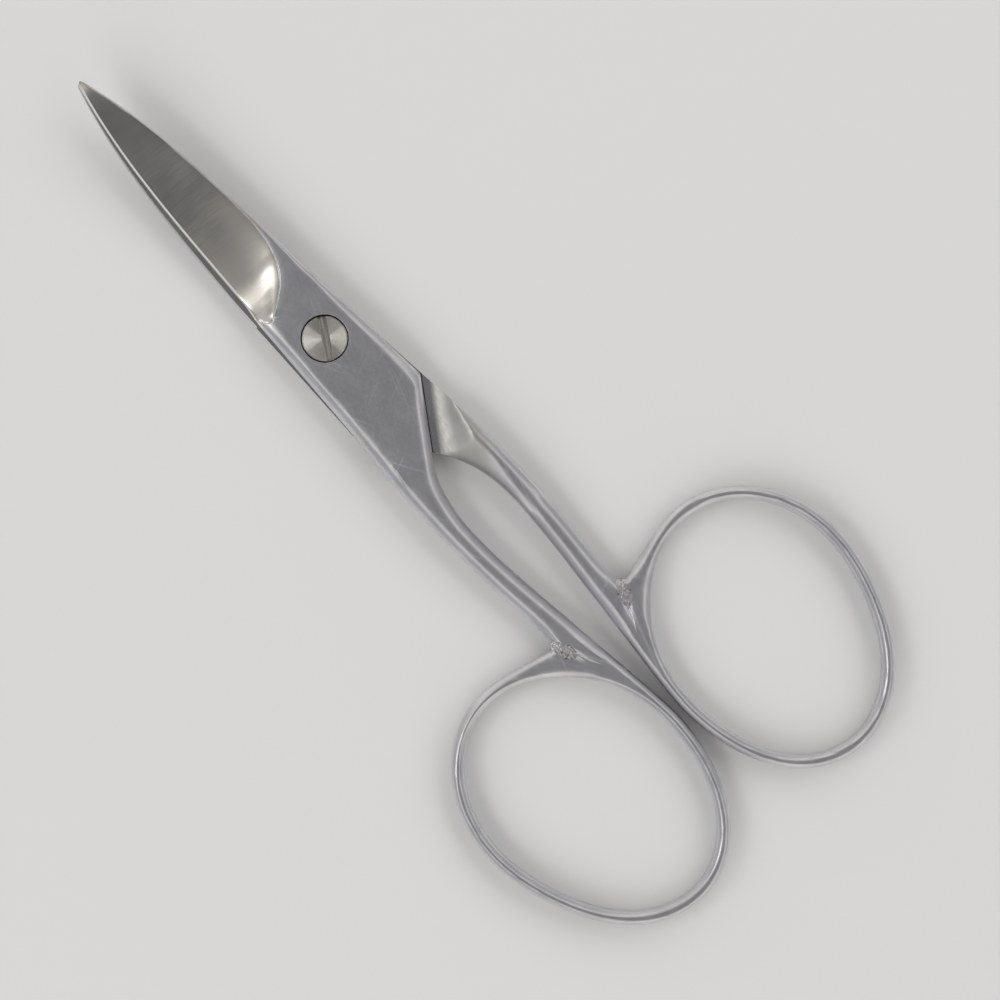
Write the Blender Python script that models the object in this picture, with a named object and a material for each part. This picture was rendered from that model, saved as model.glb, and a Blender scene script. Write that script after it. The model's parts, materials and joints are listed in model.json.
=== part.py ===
"""Curved nail scissors: two forged halves, a weld that closes each finger bow, and a slotted pivot screw.

The frame is in metres. Its origin is on the pivot axis, in the plane that the scissors rest on. +X runs
towards the tips, +Y towards the bow of the upper half and +Z up, out of the screw's head.

Both halves come from one blank, drawn with its bow at +Y and its joint face looking down. The upper half is
that blank as drawn. The lower half is the blank turned over about the X axis. The blades curve up after that,
by a rise that depends on the distance from the pivot alone, so the two stay clear of each other as they turn.
"""
import math
from dataclasses import dataclass
from itertools import accumulate

import bmesh
import bpy
from mathutils import Vector

mm = 0.001

# Joint of the two halves
joint_thickness = 3.0 * mm
joint_gap = 0.05 * mm
shoulder_gap = 0.12 * mm
joint_cut_overrun = 0.6 * mm
ride_front = 5.0 * mm
ride_step = 0.1 * mm

# Blade
blade_length = 31.2 * mm
blade_heel = 8.0 * mm
blade_curve_radius = 100.0 * mm
blade_curve_start = 6.0 * mm
blade_relief = 0.04 * mm
tip_thickness = 0.35 * mm
tip_round = 0.30 * mm
edge_land = 0.06 * mm
edge_bevel = 0.15 * mm
spine_round = 0.22 * mm
plunge_corner = 4.3 * mm
plunge_foot = 8.9 * mm
upper_spine_reach = 3.14 * mm
lower_spine_reach = 3.70 * mm
upper_edge_reach = 3.12 * mm
lower_edge_reach = 2.62 * mm
upper_spine_tip = 0.12 * mm
lower_spine_tip = 0.40 * mm
upper_edge_tip = 0.30 * mm
lower_edge_tip = 0.08 * mm

# Flat round the screw, and the shoulder behind it
shoulder_distance = 8.1 * mm
upper_shoulder_reach = 4.02 * mm
lower_shoulder_reach = 4.20 * mm
upper_heel_reach = 3.50 * mm
lower_heel_reach = 3.20 * mm
flat_side_round = 1.05 * mm
flat_side_depth = 0.95 * mm
flat_spine_round = 0.60 * mm
shoulder_round = 0.45 * mm
ramp_flat = 0.70 * mm
ramp_start_angle = math.radians(12)
ramp_fillet = 2.6 * mm
ramp_angle = math.radians(40)
ramp_inner_fillet = 6.0 * mm
ramp_inner_angle = math.radians(29)

# Shank
crotch_distance = 34.2 * mm
shank_inner_spread = 2.36 * mm
shank_outer_spread = 4.74 * mm
upper_elbow_reach = 0.95 * mm
lower_elbow_reach = 0.80 * mm
shank_round = 0.86 * mm
shank_round_depth = 0.80 * mm

# Finger bow
bow_opening_length = 24.7 * mm
bow_opening_width = 18.6 * mm
bow_egg = 0.20 * mm
bow_egg_turn = math.radians(110)
bow_toe_in = math.radians(9.5)
tail_widening = math.radians(35)
bow_band = 1.18 * mm
bow_height = 2.4 * mm
bow_gap = 0.60 * mm
bow_round = 0.40 * mm
bow_round_depth = 0.62 * mm
tail_round = 0.70 * mm
crotch_width = 2.8 * mm

# Weld bead in the crotch of the bow
weld_length = 2.3 * mm
weld_width = 1.25 * mm
weld_gap = 0.03 * mm
weld_inset = 0.22 * mm
weld_lean = math.radians(20)

# Pivot screw
head_diameter = 4.1 * mm
head_gap = 0.10 * mm
head_seat_gap = 0.03 * mm
counterbore_depth = 0.90 * mm
head_crown = 0.10 * mm
head_chamfer = 0.14 * mm
slot_width = 0.78 * mm
slot_depth = 0.42 * mm
slot_offset = 0.12 * mm
slot_angle = math.radians(148)
shoulder_diameter = 2.6 * mm
shoulder_hole_gap = 0.04 * mm
thread_diameter = 2.2 * mm
thread_gap = 0.03 * mm
thread_chamfer = 0.15 * mm

# Outline shares: the fall of the leaf-shaped blade, from its heel to its tip
leaf_straight_share = 0.46
leaf_round_share = 1 - leaf_straight_share
leaf_power = 3.5

# Places along the shank, as shares of its length from shoulder to crotch, with shares of its spread
elbow_share = 0.272
elbow_blend_share = 0.15
inner_edge_shares = [
    (0.272, 0.403), (0.303, 0.560), (0.341, 0.715), (0.379, 0.815), (0.418, 0.895), (0.456, 0.955),
    (0.513, 0.995), (0.609, 0.975), (0.762, 0.850), (0.916, 0.680), (1.000, 0.590),
]
outer_edge_shares = [
    (0.000, 0.873), (0.150, 0.941), (0.303, 0.985), (0.456, 1.000), (0.609, 0.981),
    (0.762, 0.932), (0.880, 0.872),
]
# How far the ramp's slope reaches across the shank, and how deep it is at the inner edge
slope_width_shares = [
    (0.226, 0.84), (0.264, 0.80), (0.303, 0.76), (0.341, 0.72), (0.379, 0.65), (0.456, 0.50), (0.533, 0.32),
    (0.610, 0.20),
]
slope_depth_shares = [
    (0.226, 1.00), (0.264, 0.94), (0.303, 0.84), (0.341, 0.71), (0.379, 0.56), (0.456, 0.29), (0.533, 0.11),
    (0.610, 0.00),
]
# The curve where the ground face of the blade runs out, from its corner at the edge round to the spine:
# places from the plunge corner to its foot and on to the tip, with the share of the blade's width
plunge_curve_shares = [
    (0.00, 0.035), (0.07, 0.12), (0.15, 0.29), (0.26, 0.43), (0.37, 0.535), (0.48, 0.61), (0.59, 0.675),
    (0.70, 0.72), (0.80, 0.76), (0.91, 0.79), (1.02, 0.815),
]
spine_land_shares = [(0.00, 1.00), (0.05, 0.72), (0.13, 0.42), (0.22, 0.27), (0.40, 0.23), (1.00, 0.20)]
# Shares that shape the cross sections, and shares of a length over which one shape turns into another
corner_fade_share = 0.25
spine_depth_share = 1.5
shoulder_blend_share = 0.083
side_blend_share = 0.33
bow_blend_share = 0.80
crowded_shares = (0.92, 0.935, 0.95)
even_shares = (0.25, 0.50, 0.75)
ridge_limit_shares = (0.25, 0.90)
ridge_blend_share = 0.15
leaf_middle_share = 0.20
point_share = 0.08
bend_share = 0.50
step_back_share = 0.10
slot_reach_share = 1.5
bevel_height_share = 0.20
heel_turn_share = 0.33
spine_turn_share = 0.50
corner_limit_share = 0.25
round_limit_share = 0.45
crease_clear_share = 0.015
crease_limit_share = 0.97
crease_lift_share = 0.50
tip_height_share = 0.70
tip_height_power = 4
tip_narrowing_share = 0.75
slope_power = 1.15
weld_centre_share = 0.36
valley_share = 0.30
valley_place_share = 0.50
valley_power = 1.3
swell_power = 2.6

# Mesh steps
round_steps = 4
round_fillers = 3
bow_steps = 80
junction_steps = 12
ramp_steps = 6
fillet_steps = 6
turned_steps = 48
search_steps = 40
weld_segments = 24
weld_rings = 12
sharp_angle = math.radians(32)
split_angle = math.radians(140.1)
junction_end_angle = math.radians(86)


@dataclass(frozen=True)
class Half:
    """The sizes and the side that one half of the scissors has to itself."""

    name: str
    turned_over: bool
    spine_reach: float
    spine_tip: float
    edge_reach: float
    edge_tip: float
    heel_reach: float
    shoulder_reach: float
    other_shoulder_reach: float
    elbow_reach: float
    other_elbow_reach: float


upper = Half(
    name="upper",
    turned_over=False,
    spine_reach=upper_spine_reach,
    spine_tip=upper_spine_tip,
    edge_reach=upper_edge_reach,
    edge_tip=upper_edge_tip,
    heel_reach=upper_heel_reach,
    shoulder_reach=upper_shoulder_reach,
    other_shoulder_reach=lower_shoulder_reach,
    elbow_reach=upper_elbow_reach,
    other_elbow_reach=lower_elbow_reach,
)
lower = Half(
    name="lower",
    turned_over=True,
    spine_reach=lower_spine_reach,
    spine_tip=lower_spine_tip,
    edge_reach=lower_edge_reach,
    edge_tip=lower_edge_tip,
    heel_reach=lower_heel_reach,
    shoulder_reach=lower_shoulder_reach,
    other_shoulder_reach=upper_shoulder_reach,
    elbow_reach=lower_elbow_reach,
    other_elbow_reach=upper_elbow_reach,
)

half_thickness = (joint_thickness - joint_gap) / 2
joint_face = joint_thickness - half_thickness


def mix(start, end, share):
    """Go the given share of the way from start to end."""
    return start + (end - start) * share


def ease(share):
    """Turn a share from 0 to 1 into a smooth step that starts and ends level."""
    held = min(max(share, 0.0), 1.0)
    return held * held * (3 - 2 * held)


def flow(stations, place):
    """Read a smooth curve through (place, value) stations, which never overshoots them."""
    if place <= stations[0][0]:
        return stations[0][1]
    if place >= stations[-1][0]:
        return stations[-1][1]
    slopes = [(b[1] - a[1]) / (b[0] - a[0]) for a, b in zip(stations, stations[1:])]
    inner = [2 * a * b / (a + b) if a * b > 0 else 0.0 for a, b in zip(slopes, slopes[1:])]
    tangents = [slopes[0]] + inner + [slopes[-1]]
    index = max(i for i in range(len(stations) - 1) if stations[i][0] <= place)
    start, end = stations[index], stations[index + 1]
    span = end[0] - start[0]
    share = (place - start[0]) / span
    lift = share * (1 - share)
    pull = (1 - share) * (tangents[index] - slopes[index]) - share * (tangents[index + 1] - slopes[index])
    return mix(start[1], end[1], share) + lift * span * pull


def curved_rise(x, y):
    """Rise of the curved blades at a distance from the pivot axis."""
    beyond = math.hypot(x, y) - blade_curve_start
    if x <= 0 or beyond <= 0:
        return 0.0
    return blade_curve_radius - math.sqrt(blade_curve_radius ** 2 - beyond ** 2)


def placed(half, point):
    """Bring a point of the blank to its place in the scissors."""
    x, y, z = point
    if half.turned_over:
        y, z = -y, joint_thickness - z
    return Vector((x, y, z + curved_rise(x, y)))


def shank_share(x):
    """Share of the way from the shoulder to the crotch."""
    return (-x - shoulder_distance) / (crotch_distance - shoulder_distance)


def leaf_share(x):
    """Share of its full width that the leaf-shaped blade has at x."""
    along = max((x - blade_heel) / (blade_length - blade_heel), 0.0)
    return 1 - leaf_straight_share * along - leaf_round_share * along ** leaf_power


def tip_taper(x):
    """Share of its width that the blade keeps in its rounded tip."""
    beyond = max((x - blade_length) / tip_round + 1, 0.0)
    return math.sqrt(1 - tip_narrowing_share * beyond * beyond)


def inner_edge(half, x):
    """Outline of the blank on its spine side, which becomes the inner side of the shank."""
    if x >= blade_heel:
        return -mix(half.spine_tip, half.spine_reach, leaf_share(x)) * tip_taper(x)
    if x >= -shoulder_distance:
        share = (blade_heel - x) / (blade_heel + shoulder_distance)
        return -mix(half.spine_reach, half.shoulder_reach, share)
    along = shank_share(x)
    if along <= elbow_share:
        return mix(-half.shoulder_reach, half.elbow_reach, along / elbow_share)
    held_back = shank_inner_spread * inner_edge_shares[0][1] - half.elbow_reach
    stations = [(elbow_share, half.elbow_reach)]
    for place, share in inner_edge_shares[1:]:
        fade = ease((place - elbow_share) / elbow_blend_share)
        stations.append((place, share * shank_inner_spread - held_back * (1 - fade)))
    return flow(stations, along)


def outer_edge(half, x):
    """Outline of the blank on its cutting side, which becomes the outer side of the shank."""
    if x >= blade_heel:
        return mix(half.edge_tip, half.edge_reach, leaf_share(x)) * tip_taper(x)
    if x >= plunge_corner:
        share = (blade_heel - x) / (blade_heel - plunge_corner)
        return mix(half.edge_reach, half.heel_reach, ease(share))
    shoulder_y = outer_edge_shares[0][1] * shank_outer_spread
    if x >= -shoulder_distance:
        share = (plunge_corner - x) / (plunge_corner + shoulder_distance)
        return mix(half.heel_reach, shoulder_y, share)
    stations = [(place, share * shank_outer_spread) for place, share in outer_edge_shares]
    stations.append((1.0, crotch_point.y))
    return flow(stations, shank_share(x))


def opening_radius(angle):
    """Radius of the bow's opening, an ellipse with a slight egg shape, from its centre."""
    long_half = bow_opening_length / 2
    wide_half = bow_opening_width / 2
    ellipse = 1 / math.hypot(math.cos(angle) / long_half, math.sin(angle) / wide_half)
    return ellipse + bow_egg * math.cos(3 * (angle - bow_egg_turn))


def bow_direction(angle):
    """Unit direction from the bow's centre. 0 is its far end, and 90 degrees is its inner side."""
    turned = angle + bow_toe_in
    return Vector((-math.cos(turned), -math.sin(turned)))


inner_reach = max(-opening_radius(math.radians(a)) * bow_direction(math.radians(a)).y for a in range(40, 121, 2))
split_reach = opening_radius(split_angle) + crotch_width
bow_centre = Vector((
    -crotch_distance - split_reach * bow_direction(split_angle).x,
    bow_gap / 2 + bow_band + inner_reach,
))
crotch_point = bow_centre + bow_direction(split_angle) * split_reach


def opening_edge(angle):
    """Point of the bow's inner edge, in plan."""
    return bow_centre + bow_direction(angle) * opening_radius(angle)


def band_normal(angle):
    """Outward normal of the bow's inner edge, in plan."""
    step = math.radians(1)
    along = (opening_edge(angle + step) - opening_edge(angle - step)).normalized()
    normal = Vector((along.y, -along.x))
    return normal if normal.dot(bow_direction(angle)) > 0 else -normal


def shank_levels(half, x):
    """Underside and top of the blank behind the joint, which thins to the height of the bow."""
    thinned = (joint_thickness - bow_height) * ease((shank_share(x) - elbow_share) / (1 - elbow_share))
    if half.turned_over:
        return thinned, joint_thickness
    return 0.0, joint_thickness - thinned


def rounded(edge, inward, level, width, depth):
    """Points of a rounded corner, from the wall at the edge in to the flat at the given level."""
    turns = [math.pi / 2 * step / round_steps for step in range(round_steps + 1)]
    return [(edge + inward * width * (1 - math.cos(turn)), level - depth * (1 - math.sin(turn))) for turn in turns]


def fitted(width, reach):
    """Width of a rounding, held to its share of the reach that two roundings have between them."""
    return min(width, reach * round_limit_share)


def spine_thickness(x):
    """Thickness of the blade at its spine."""
    share = max((x - plunge_foot) / (blade_length - plunge_foot), 0.0)
    return mix(half_thickness, tip_thickness, share)


def blade_flanks(half, x):
    """Both outlines of the blade at x, and the widths of its rounded spine and of its bevelled edge."""
    inner, outer = inner_edge(half, x), outer_edge(half, x)
    widest = (outer - inner) * corner_limit_share
    spine_turn = ease((x - plunge_corner) / (plunge_foot - plunge_corner) * spine_turn_share)
    edge_turn = ease((x - plunge_corner) / (blade_heel - plunge_corner) / heel_turn_share)
    spine_width = min(mix(flat_spine_round, spine_round, spine_turn), widest)
    bevel = min(mix(flat_side_round, edge_bevel, edge_turn), widest)
    return inner, outer, spine_width, bevel, edge_turn


def ground_height(half, x, y):
    """Height of the blade's ground face above the joint face, with the fillet of its plunge."""
    inner, outer, spine_width, bevel, _ = blade_flanks(half, x)
    first, last = inner + spine_width, outer - bevel
    full = spine_thickness(x)
    across = min(max((last - y) / (last - first), 0.0), 1.0)
    far = max((x - plunge_foot) / (blade_length - plunge_foot), 0.0)
    low = mix(bevel_height_share, tip_height_share, far ** tip_height_power)
    ground = mix(low * full, full, across)
    if x >= plunge_foot:
        return ground
    start = plunge_place(half, y)
    if start >= plunge_foot or x <= start:
        return full
    return mix(ground, full, ((plunge_foot - x) / (plunge_foot - start)) ** 2)


def plunge_line(half, x):
    """Where the ground face runs out at x, as a place across the blade."""
    spine, edge = inner_edge(half, x), outer_edge(half, x)
    along = (x - plunge_corner) / (plunge_foot - plunge_corner)
    near = flow(plunge_curve_shares, along)
    if along <= plunge_curve_shares[-1][0]:
        return mix(edge - flat_side_round * (1 - ease(along / corner_fade_share)), spine, near)
    far = (x - plunge_foot) / (blade_length - plunge_foot)
    land = (edge - spine) * (1 - plunge_curve_shares[-1][1]) * flow(spine_land_shares, far)
    return spine + land


def plunge_place(half, y):
    """Where along the blade the ground face starts at a place across it."""
    places = [mix(plunge_corner, plunge_foot, step / search_steps) for step in range(search_steps + 1)]
    for place in places:
        if plunge_line(half, place) <= y:
            return place
    return plunge_foot


def arm_top(half, x):
    """Upper side of the blank across at x, as (y, z) from its inner to its outer edge."""
    if x > plunge_corner:
        inner, outer, spine_width, bevel, edge_turn = blade_flanks(half, x)
        thick = spine_thickness(x)
        first, last = inner + spine_width, outer - bevel
        crease = max(plunge_line(half, x), mix(first, last, crease_clear_share))
        crease = min(crease, mix(first, last, crease_limit_share))
        spots = [crease] + [mix(crease, last, (i + 1) / round_fillers) for i in range(round_fillers)]
        heights = [max(ground_height(half, x, y), edge_land * 2) for y in spots]
        heights[0] = mix(heights[0], thick, crease_lift_share) if x > plunge_foot else thick
        wall = mix(half_thickness - flat_side_depth, edge_land, ease((edge_turn + edge_turn * edge_turn) / 2))
        near = rounded(inner, 1, joint_face + thick, spine_width, min(spine_width * spine_depth_share, thick / 2))
        middle = [(y, joint_face + height) for y, height in zip(spots[:-1], heights)]
        far = rounded(outer, -1, joint_face + heights[-1], bevel, max(heights[-1] - wall, edge_land))
        return near + middle + far[::-1]
    inner, outer = inner_edge(half, x), outer_edge(half, x)
    level = shank_levels(half, x)[1]
    along = shank_share(x)
    if x >= -shoulder_distance:
        inner_width, inner_depth = flat_spine_round, flat_spine_round
        outer_width, outer_depth = flat_side_round, flat_side_depth
        bunch = ease((plunge_corner - x) / plunge_corner)
    else:
        grown = ease(along / shoulder_blend_share)
        inner_width = mix(shoulder_round, shank_round, grown)
        inner_depth = mix(shoulder_round, shank_round_depth, grown)
        settled = ease(along / side_blend_share)
        outer_width = mix(flat_side_round, shank_round, settled)
        outer_depth = mix(flat_side_depth, shank_round_depth, settled)
        bunch = 1.0
    final = ease((along - bow_blend_share) / (1 - bow_blend_share))
    inner_depth = mix(inner_depth, bow_round_depth, final)
    outer_depth = mix(outer_depth, bow_round_depth, final)
    inner_width, outer_width = fitted(inner_width, outer - inner), fitted(outer_width, outer - inner)
    first, last = inner + inner_width, outer - outer_width
    spread = [mix(crowded, even, bunch) for crowded, even in zip(crowded_shares, even_shares)]
    near = rounded(inner, 1, level, inner_width, inner_depth)
    middle = [(mix(first, last, share), level) for share in spread]
    far = rounded(outer, -1, level, outer_width, outer_depth)
    return near + middle + far[::-1]


def arm_bottom(half, x):
    """Underside of the blank across at x, as (y, z) from its inner to its outer edge."""
    inner, outer = inner_edge(half, x), outer_edge(half, x)
    count = 2 * (round_steps + 1) + round_fillers
    if x > -shoulder_distance:
        level = joint_face + blade_relief if x > ride_front else joint_face - joint_cut_overrun
        return [(mix(inner, outer, step / (count - 1)), level) for step in range(count)]
    level = shank_levels(half, x)[0]
    along = shank_share(x)
    slope = (outer - inner) * flow(slope_width_shares, along)
    depth_share = flow(slope_depth_shares, along)
    depth = (joint_face - level) * depth_share
    settled = ease((along - slope_depth_shares[0][0]) / side_blend_share)
    inner_width = mix(flat_spine_round / 2, shank_round, settled)
    outer_width = mix(flat_spine_round, shank_round, ease(along / side_blend_share))
    final = ease((along - bow_blend_share) / (1 - bow_blend_share))
    inner_depth = mix(mix(flat_spine_round / 2, shank_round_depth, settled), bow_round_depth, final)
    outer_depth = mix(shank_round_depth, bow_round_depth, final)
    inner_width, outer_width = fitted(inner_width, outer - inner), fitted(outer_width, outer - inner)
    first, last = inner + inner_width, outer - outer_width
    ridge = max(inner + slope, mix(first, last, ridge_limit_shares[0]))
    ridge = min(ridge, mix(first, last, ridge_limit_shares[1]))
    pull = ease(depth_share / ridge_blend_share)
    spots = []
    for share in even_shares:
        spots.append(mix(mix(first, last, share), mix(first, ridge, share / even_shares[-1]), pull))

    def sunk(y):
        return depth * (max(ridge - y, 0.0) / (ridge - inner)) ** slope_power

    near = [(y, 2 * level - z + sunk(y)) for y, z in rounded(inner, 1, level, inner_width, inner_depth)]
    middle = [(y, level + sunk(y)) for y in spots]
    far = [(y, 2 * level - z) for y, z in rounded(outer, -1, level, outer_width, outer_depth)]
    return near + middle + far[::-1]


def zone(start, end, steps):
    """Evenly spaced places from start up to, but without, end."""
    return [mix(start, end, step / steps) for step in range(steps)]


def arm_places():
    """Places along the blank, from the tip back to the crotch."""
    leaf_middle = mix(blade_heel, blade_length, leaf_middle_share)
    point = mix(blade_length, blade_heel, point_share)
    elbow = -mix(shoulder_distance, crotch_distance, elbow_share)
    bend = -mix(shoulder_distance, crotch_distance, bend_share)
    step_back = -mix(shoulder_distance, 0, step_back_share)
    places = zone(blade_length, blade_length - tip_round, 5) + zone(blade_length - tip_round, point, 4)
    places += zone(point, leaf_middle, 12)
    places += zone(leaf_middle, plunge_foot, 4) + zone(plunge_foot, plunge_corner, 12)
    places = [place for place in places if abs(place - ride_front) > ride_step]
    places += [ride_front + ride_step / 2, ride_front - ride_step / 2]
    places = sorted(places, reverse=True)
    places += zone(plunge_corner, step_back, 5) + zone(step_back, -shoulder_distance, 2)
    places += zone(-shoulder_distance, elbow, 9) + zone(elbow, bend, 8) + zone(bend, -crotch_distance, 9)
    return places


def arm_sections(half):
    """Every section of the blade, the flat and the shank, as a pair of rows of points."""
    sections = []
    for x in arm_places():
        tops = [Vector((x, y, z)) for y, z in arm_top(half, x)]
        bottoms = [Vector((x, y, z)) for y, z in arm_bottom(half, x)]
        sections.append((tops, bottoms))
    return sections


def stretch(start, end, rounds, depths, fillers):
    """Plan points and drops from one rounded corner to another, with evenly spaced points between them."""
    across = (end - start).normalized()
    reach = (end - start).length
    first_round, last_round = fitted(rounds[0], reach), fitted(rounds[1], reach)
    near = rounded(0, 1, 0, first_round, depths[0])
    far = rounded(reach, -1, 0, last_round, depths[1])
    middle = [(mix(first_round, reach - last_round, (i + 1) / (fillers + 1)), 0) for i in range(fillers)]
    return [(start + across * y, drop) for y, drop in near + middle + far[::-1]]


def both_sides(points, levels):
    """The top row and the bottom row of a section from its plan points and drops."""
    bottom, top = levels
    tops = [Vector((spot.x, spot.y, top + drop)) for spot, drop in points]
    bottoms = [Vector((spot.x, spot.y, bottom - drop)) for spot, drop in points]
    return tops, bottoms


def bow_row(outside, inside, levels, outer_round, inner_round, fillers):
    """One section of the bow, as a pair of rows from its outside to its inside edge."""
    depths = (bow_round_depth, bow_round_depth)
    return both_sides(stretch(outside, inside, (outer_round, inner_round), depths, fillers), levels)


def valley_row(outside, valley, inside, levels, depth, side_rounds):
    """One section of the junction, where a valley still parts the shank from the bow's tail."""
    first = stretch(outside, valley, (side_rounds[0], shank_round), (bow_round_depth, depth), 3)
    second = stretch(valley, inside, (tail_round, side_rounds[1]), (depth, bow_round_depth), 1)
    return both_sides(first + second[1:], levels)


def junction_outside(half, share):
    """Outside edge of the bow where the shank runs into it, from the crotch to the bow's inner side."""
    start = Vector((-crotch_distance, inner_edge(half, -crotch_distance)))
    behind = Vector((-crotch_distance + bow_band, inner_edge(half, -crotch_distance + bow_band)))
    end = opening_edge(junction_end_angle) + band_normal(junction_end_angle) * bow_band
    normal = band_normal(junction_end_angle)
    end_along = Vector((normal.y, -normal.x))
    end_along = end_along if end_along.x < 0 else -end_along
    span = (end - start).length
    start_pull = (start - behind).normalized() * span
    end_pull = end_along * span
    rest = 1 - share
    return (start * (rest * rest * (1 + 2 * share)) + start_pull * (share * rest * rest)
            + end * (share * share * (3 - 2 * share)) - end_pull * (share * share * rest))


def bow_sections(half):
    """Sections of the bow, from just behind the crotch round to the end of its tail."""
    levels = shank_levels(half, -crotch_distance)
    sections = []
    start_middle = junction_outside(half, 0).lerp(opening_edge(split_angle), valley_place_share)
    for step in range(1, junction_steps + 1):
        share = step / junction_steps
        outside, inside = junction_outside(half, share), opening_edge(mix(split_angle, junction_end_angle, share))
        outer_round = mix(shank_round, bow_round, ease(share))
        rest = max(1 - share / valley_share, 0.0)
        if rest > 0:
            valley = outside.lerp(inside, valley_place_share) + (crotch_point - start_middle) * rest
            depth = bow_round_depth * rest ** valley_power
            sections.append(valley_row(outside, valley, inside, levels, depth, (outer_round, bow_round)))
        else:
            fillers = 3 if share < 2 * valley_share else 1
            sections.append(bow_row(outside, inside, levels, outer_round, bow_round, fillers))
    tail_end = split_angle - 2 * math.pi
    for step in range(1, bow_steps):
        angle = mix(junction_end_angle, tail_end, step / bow_steps)
        swell = max(1 - (angle - tail_end) / tail_widening, 0.0)
        band = mix(bow_band, crotch_width, swell ** swell_power)
        outside = opening_edge(angle) + band_normal(angle) * band
        outside = outside.lerp(bow_centre + bow_direction(angle) * (opening_radius(angle) + band), swell)
        outer_round = mix(bow_round, tail_round, ease(swell))
        sections.append(bow_row(outside, opening_edge(angle), levels, outer_round, bow_round, 1))
    return sections


def along_shares(row):
    """How far along a row each of its vertices is, as a share of the row's length."""
    steps = [0.0] + [(b.co - a.co).length for a, b in zip(row, row[1:])]
    lengths = list(accumulate(steps))
    return [length / lengths[-1] for length in lengths]


def zip_rows(mesh, first, second):
    """Join two rows that have different numbers of vertices with triangles."""
    first_shares, second_shares = along_shares(first), along_shares(second)
    i = j = 0
    while i < len(first) - 1 or j < len(second) - 1:
        first_next = first_shares[i + 1] if i < len(first) - 1 else math.inf
        second_next = second_shares[j + 1] if j < len(second) - 1 else math.inf
        if first_next <= second_next:
            mesh.faces.new((first[i], first[i + 1], second[j]))
            i += 1
        else:
            mesh.faces.new((first[i], second[j + 1], second[j]))
            j += 1


def bridge(mesh, first, second):
    """Join two rows of vertices. Their rounded ends match one to one, also where one row has more vertices."""
    if len(first) == len(second):
        for i in range(len(first) - 1):
            mesh.faces.new((first[i], first[i + 1], second[i + 1], second[i]))
        return
    bridge(mesh, first[:round_steps + 1], second[:round_steps + 1])
    zip_rows(mesh, first[round_steps:-round_steps], second[round_steps:-round_steps])
    bridge(mesh, first[-round_steps - 1:], second[-round_steps - 1:])


def join_sections(mesh, first, second):
    """Join two sections, each a pair of vertex rows, into a closed tube."""
    bridge(mesh, first[0], second[0])
    bridge(mesh, first[1], second[1])
    for end in (0, -1):
        mesh.faces.new((first[0][end], first[1][end], second[1][end], second[0][end]))


def face_outwards(mesh):
    """Turn all faces of a closed mesh outwards."""
    mesh.normal_update()
    bmesh.ops.recalc_face_normals(mesh, faces=mesh.faces)
    mesh.normal_update()
    if mesh.calc_volume(signed=True) < 0:
        bmesh.ops.reverse_faces(mesh, faces=mesh.faces)


def blank_mesh(half):
    """The whole blank of one half, with its bow closed, before the joint is cut."""
    mesh = bmesh.new()

    def vertices(rows):
        return tuple([mesh.verts.new(placed(half, point)) for point in row] for row in rows)

    arm = [vertices(rows) for rows in arm_sections(half)]
    bow = [vertices(rows) for rows in bow_sections(half)]
    shank_end = (-crotch_distance, inner_edge(half, -crotch_distance))
    levels = shank_levels(half, -crotch_distance)
    shank = bow_row(Vector(shank_end), crotch_point, levels, shank_round, shank_round, 3)
    tail = bow_row(crotch_point, opening_edge(split_angle), levels, tail_round, bow_round, 1)
    arm_end = vertices(shank)
    tail_end = []
    for kept, points in zip(arm_end, tail):
        tail_end.append([kept[-1]] + [mesh.verts.new(placed(half, point)) for point in points[1:]])
    split = [kept + rest[1:] for kept, rest in zip(arm_end, tail_end)]

    for first, second in zip(arm, arm[1:]):
        join_sections(mesh, first, second)
    join_sections(mesh, arm[-1], arm_end)
    for first, second in zip([split] + bow, bow):
        join_sections(mesh, first, second)
    join_sections(mesh, bow[-1], tail_end)
    tip_tops, tip_bottoms = arm[0]
    mesh.faces.new(tip_tops + tip_bottoms[::-1])
    face_outwards(mesh)
    return mesh


def steel(name, colour, roughness):
    """A metal material with one colour and roughness."""
    material = bpy.data.materials.new(name)
    material.use_nodes = True
    shader = material.node_tree.nodes["Principled BSDF"]
    shader.inputs["Base Color"].default_value = (*colour, 1.0)
    shader.inputs["Metallic"].default_value = 1.0
    shader.inputs["Roughness"].default_value = roughness
    return material


def add_object(name, mesh, material=None):
    """Put a bmesh into the scene as a smooth shaded object."""
    data = bpy.data.meshes.new(name)
    mesh.to_mesh(data)
    mesh.free()
    data.shade_smooth()
    data.set_sharp_from_angle(angle=sharp_angle)
    if material:
        data.materials.append(material)
    item = bpy.data.objects.new(name, data)
    bpy.context.scene.collection.objects.link(item)
    return item


def add_cutter(name, mesh):
    """Put a bmesh into the scene as a hidden guide that cuts others."""
    item = add_object(name, mesh)
    item.hide_render = True
    item.display_type = "WIRE"
    return item


def cut(item, cutter):
    """Take the cutter's shape out of an object."""
    modifier = item.modifiers.new(cutter.name, "BOOLEAN")
    modifier.operation = "DIFFERENCE"
    modifier.solver = "EXACT"
    modifier.object = cutter


def ramp_profile(fillet, angle):
    """Section of the joint cut, as (distance behind the other half's shoulder, height): a flat, then a ramp."""
    start = shoulder_gap + ramp_flat
    profile = [(-crotch_distance, joint_face), (start, joint_face)]
    for step in range(1, fillet_steps + 1):
        turn = mix(ramp_start_angle, angle, step / fillet_steps)
        reach = fillet * (math.sin(turn) - math.sin(ramp_start_angle))
        rise = fillet * (math.cos(ramp_start_angle) - math.cos(turn))
        profile.append((start + reach, joint_face - rise))
    reach, height = profile[-1]
    floor = -joint_cut_overrun
    return profile + [(reach + (height - floor) / math.tan(angle), floor), (-crotch_distance, floor)]


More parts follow.
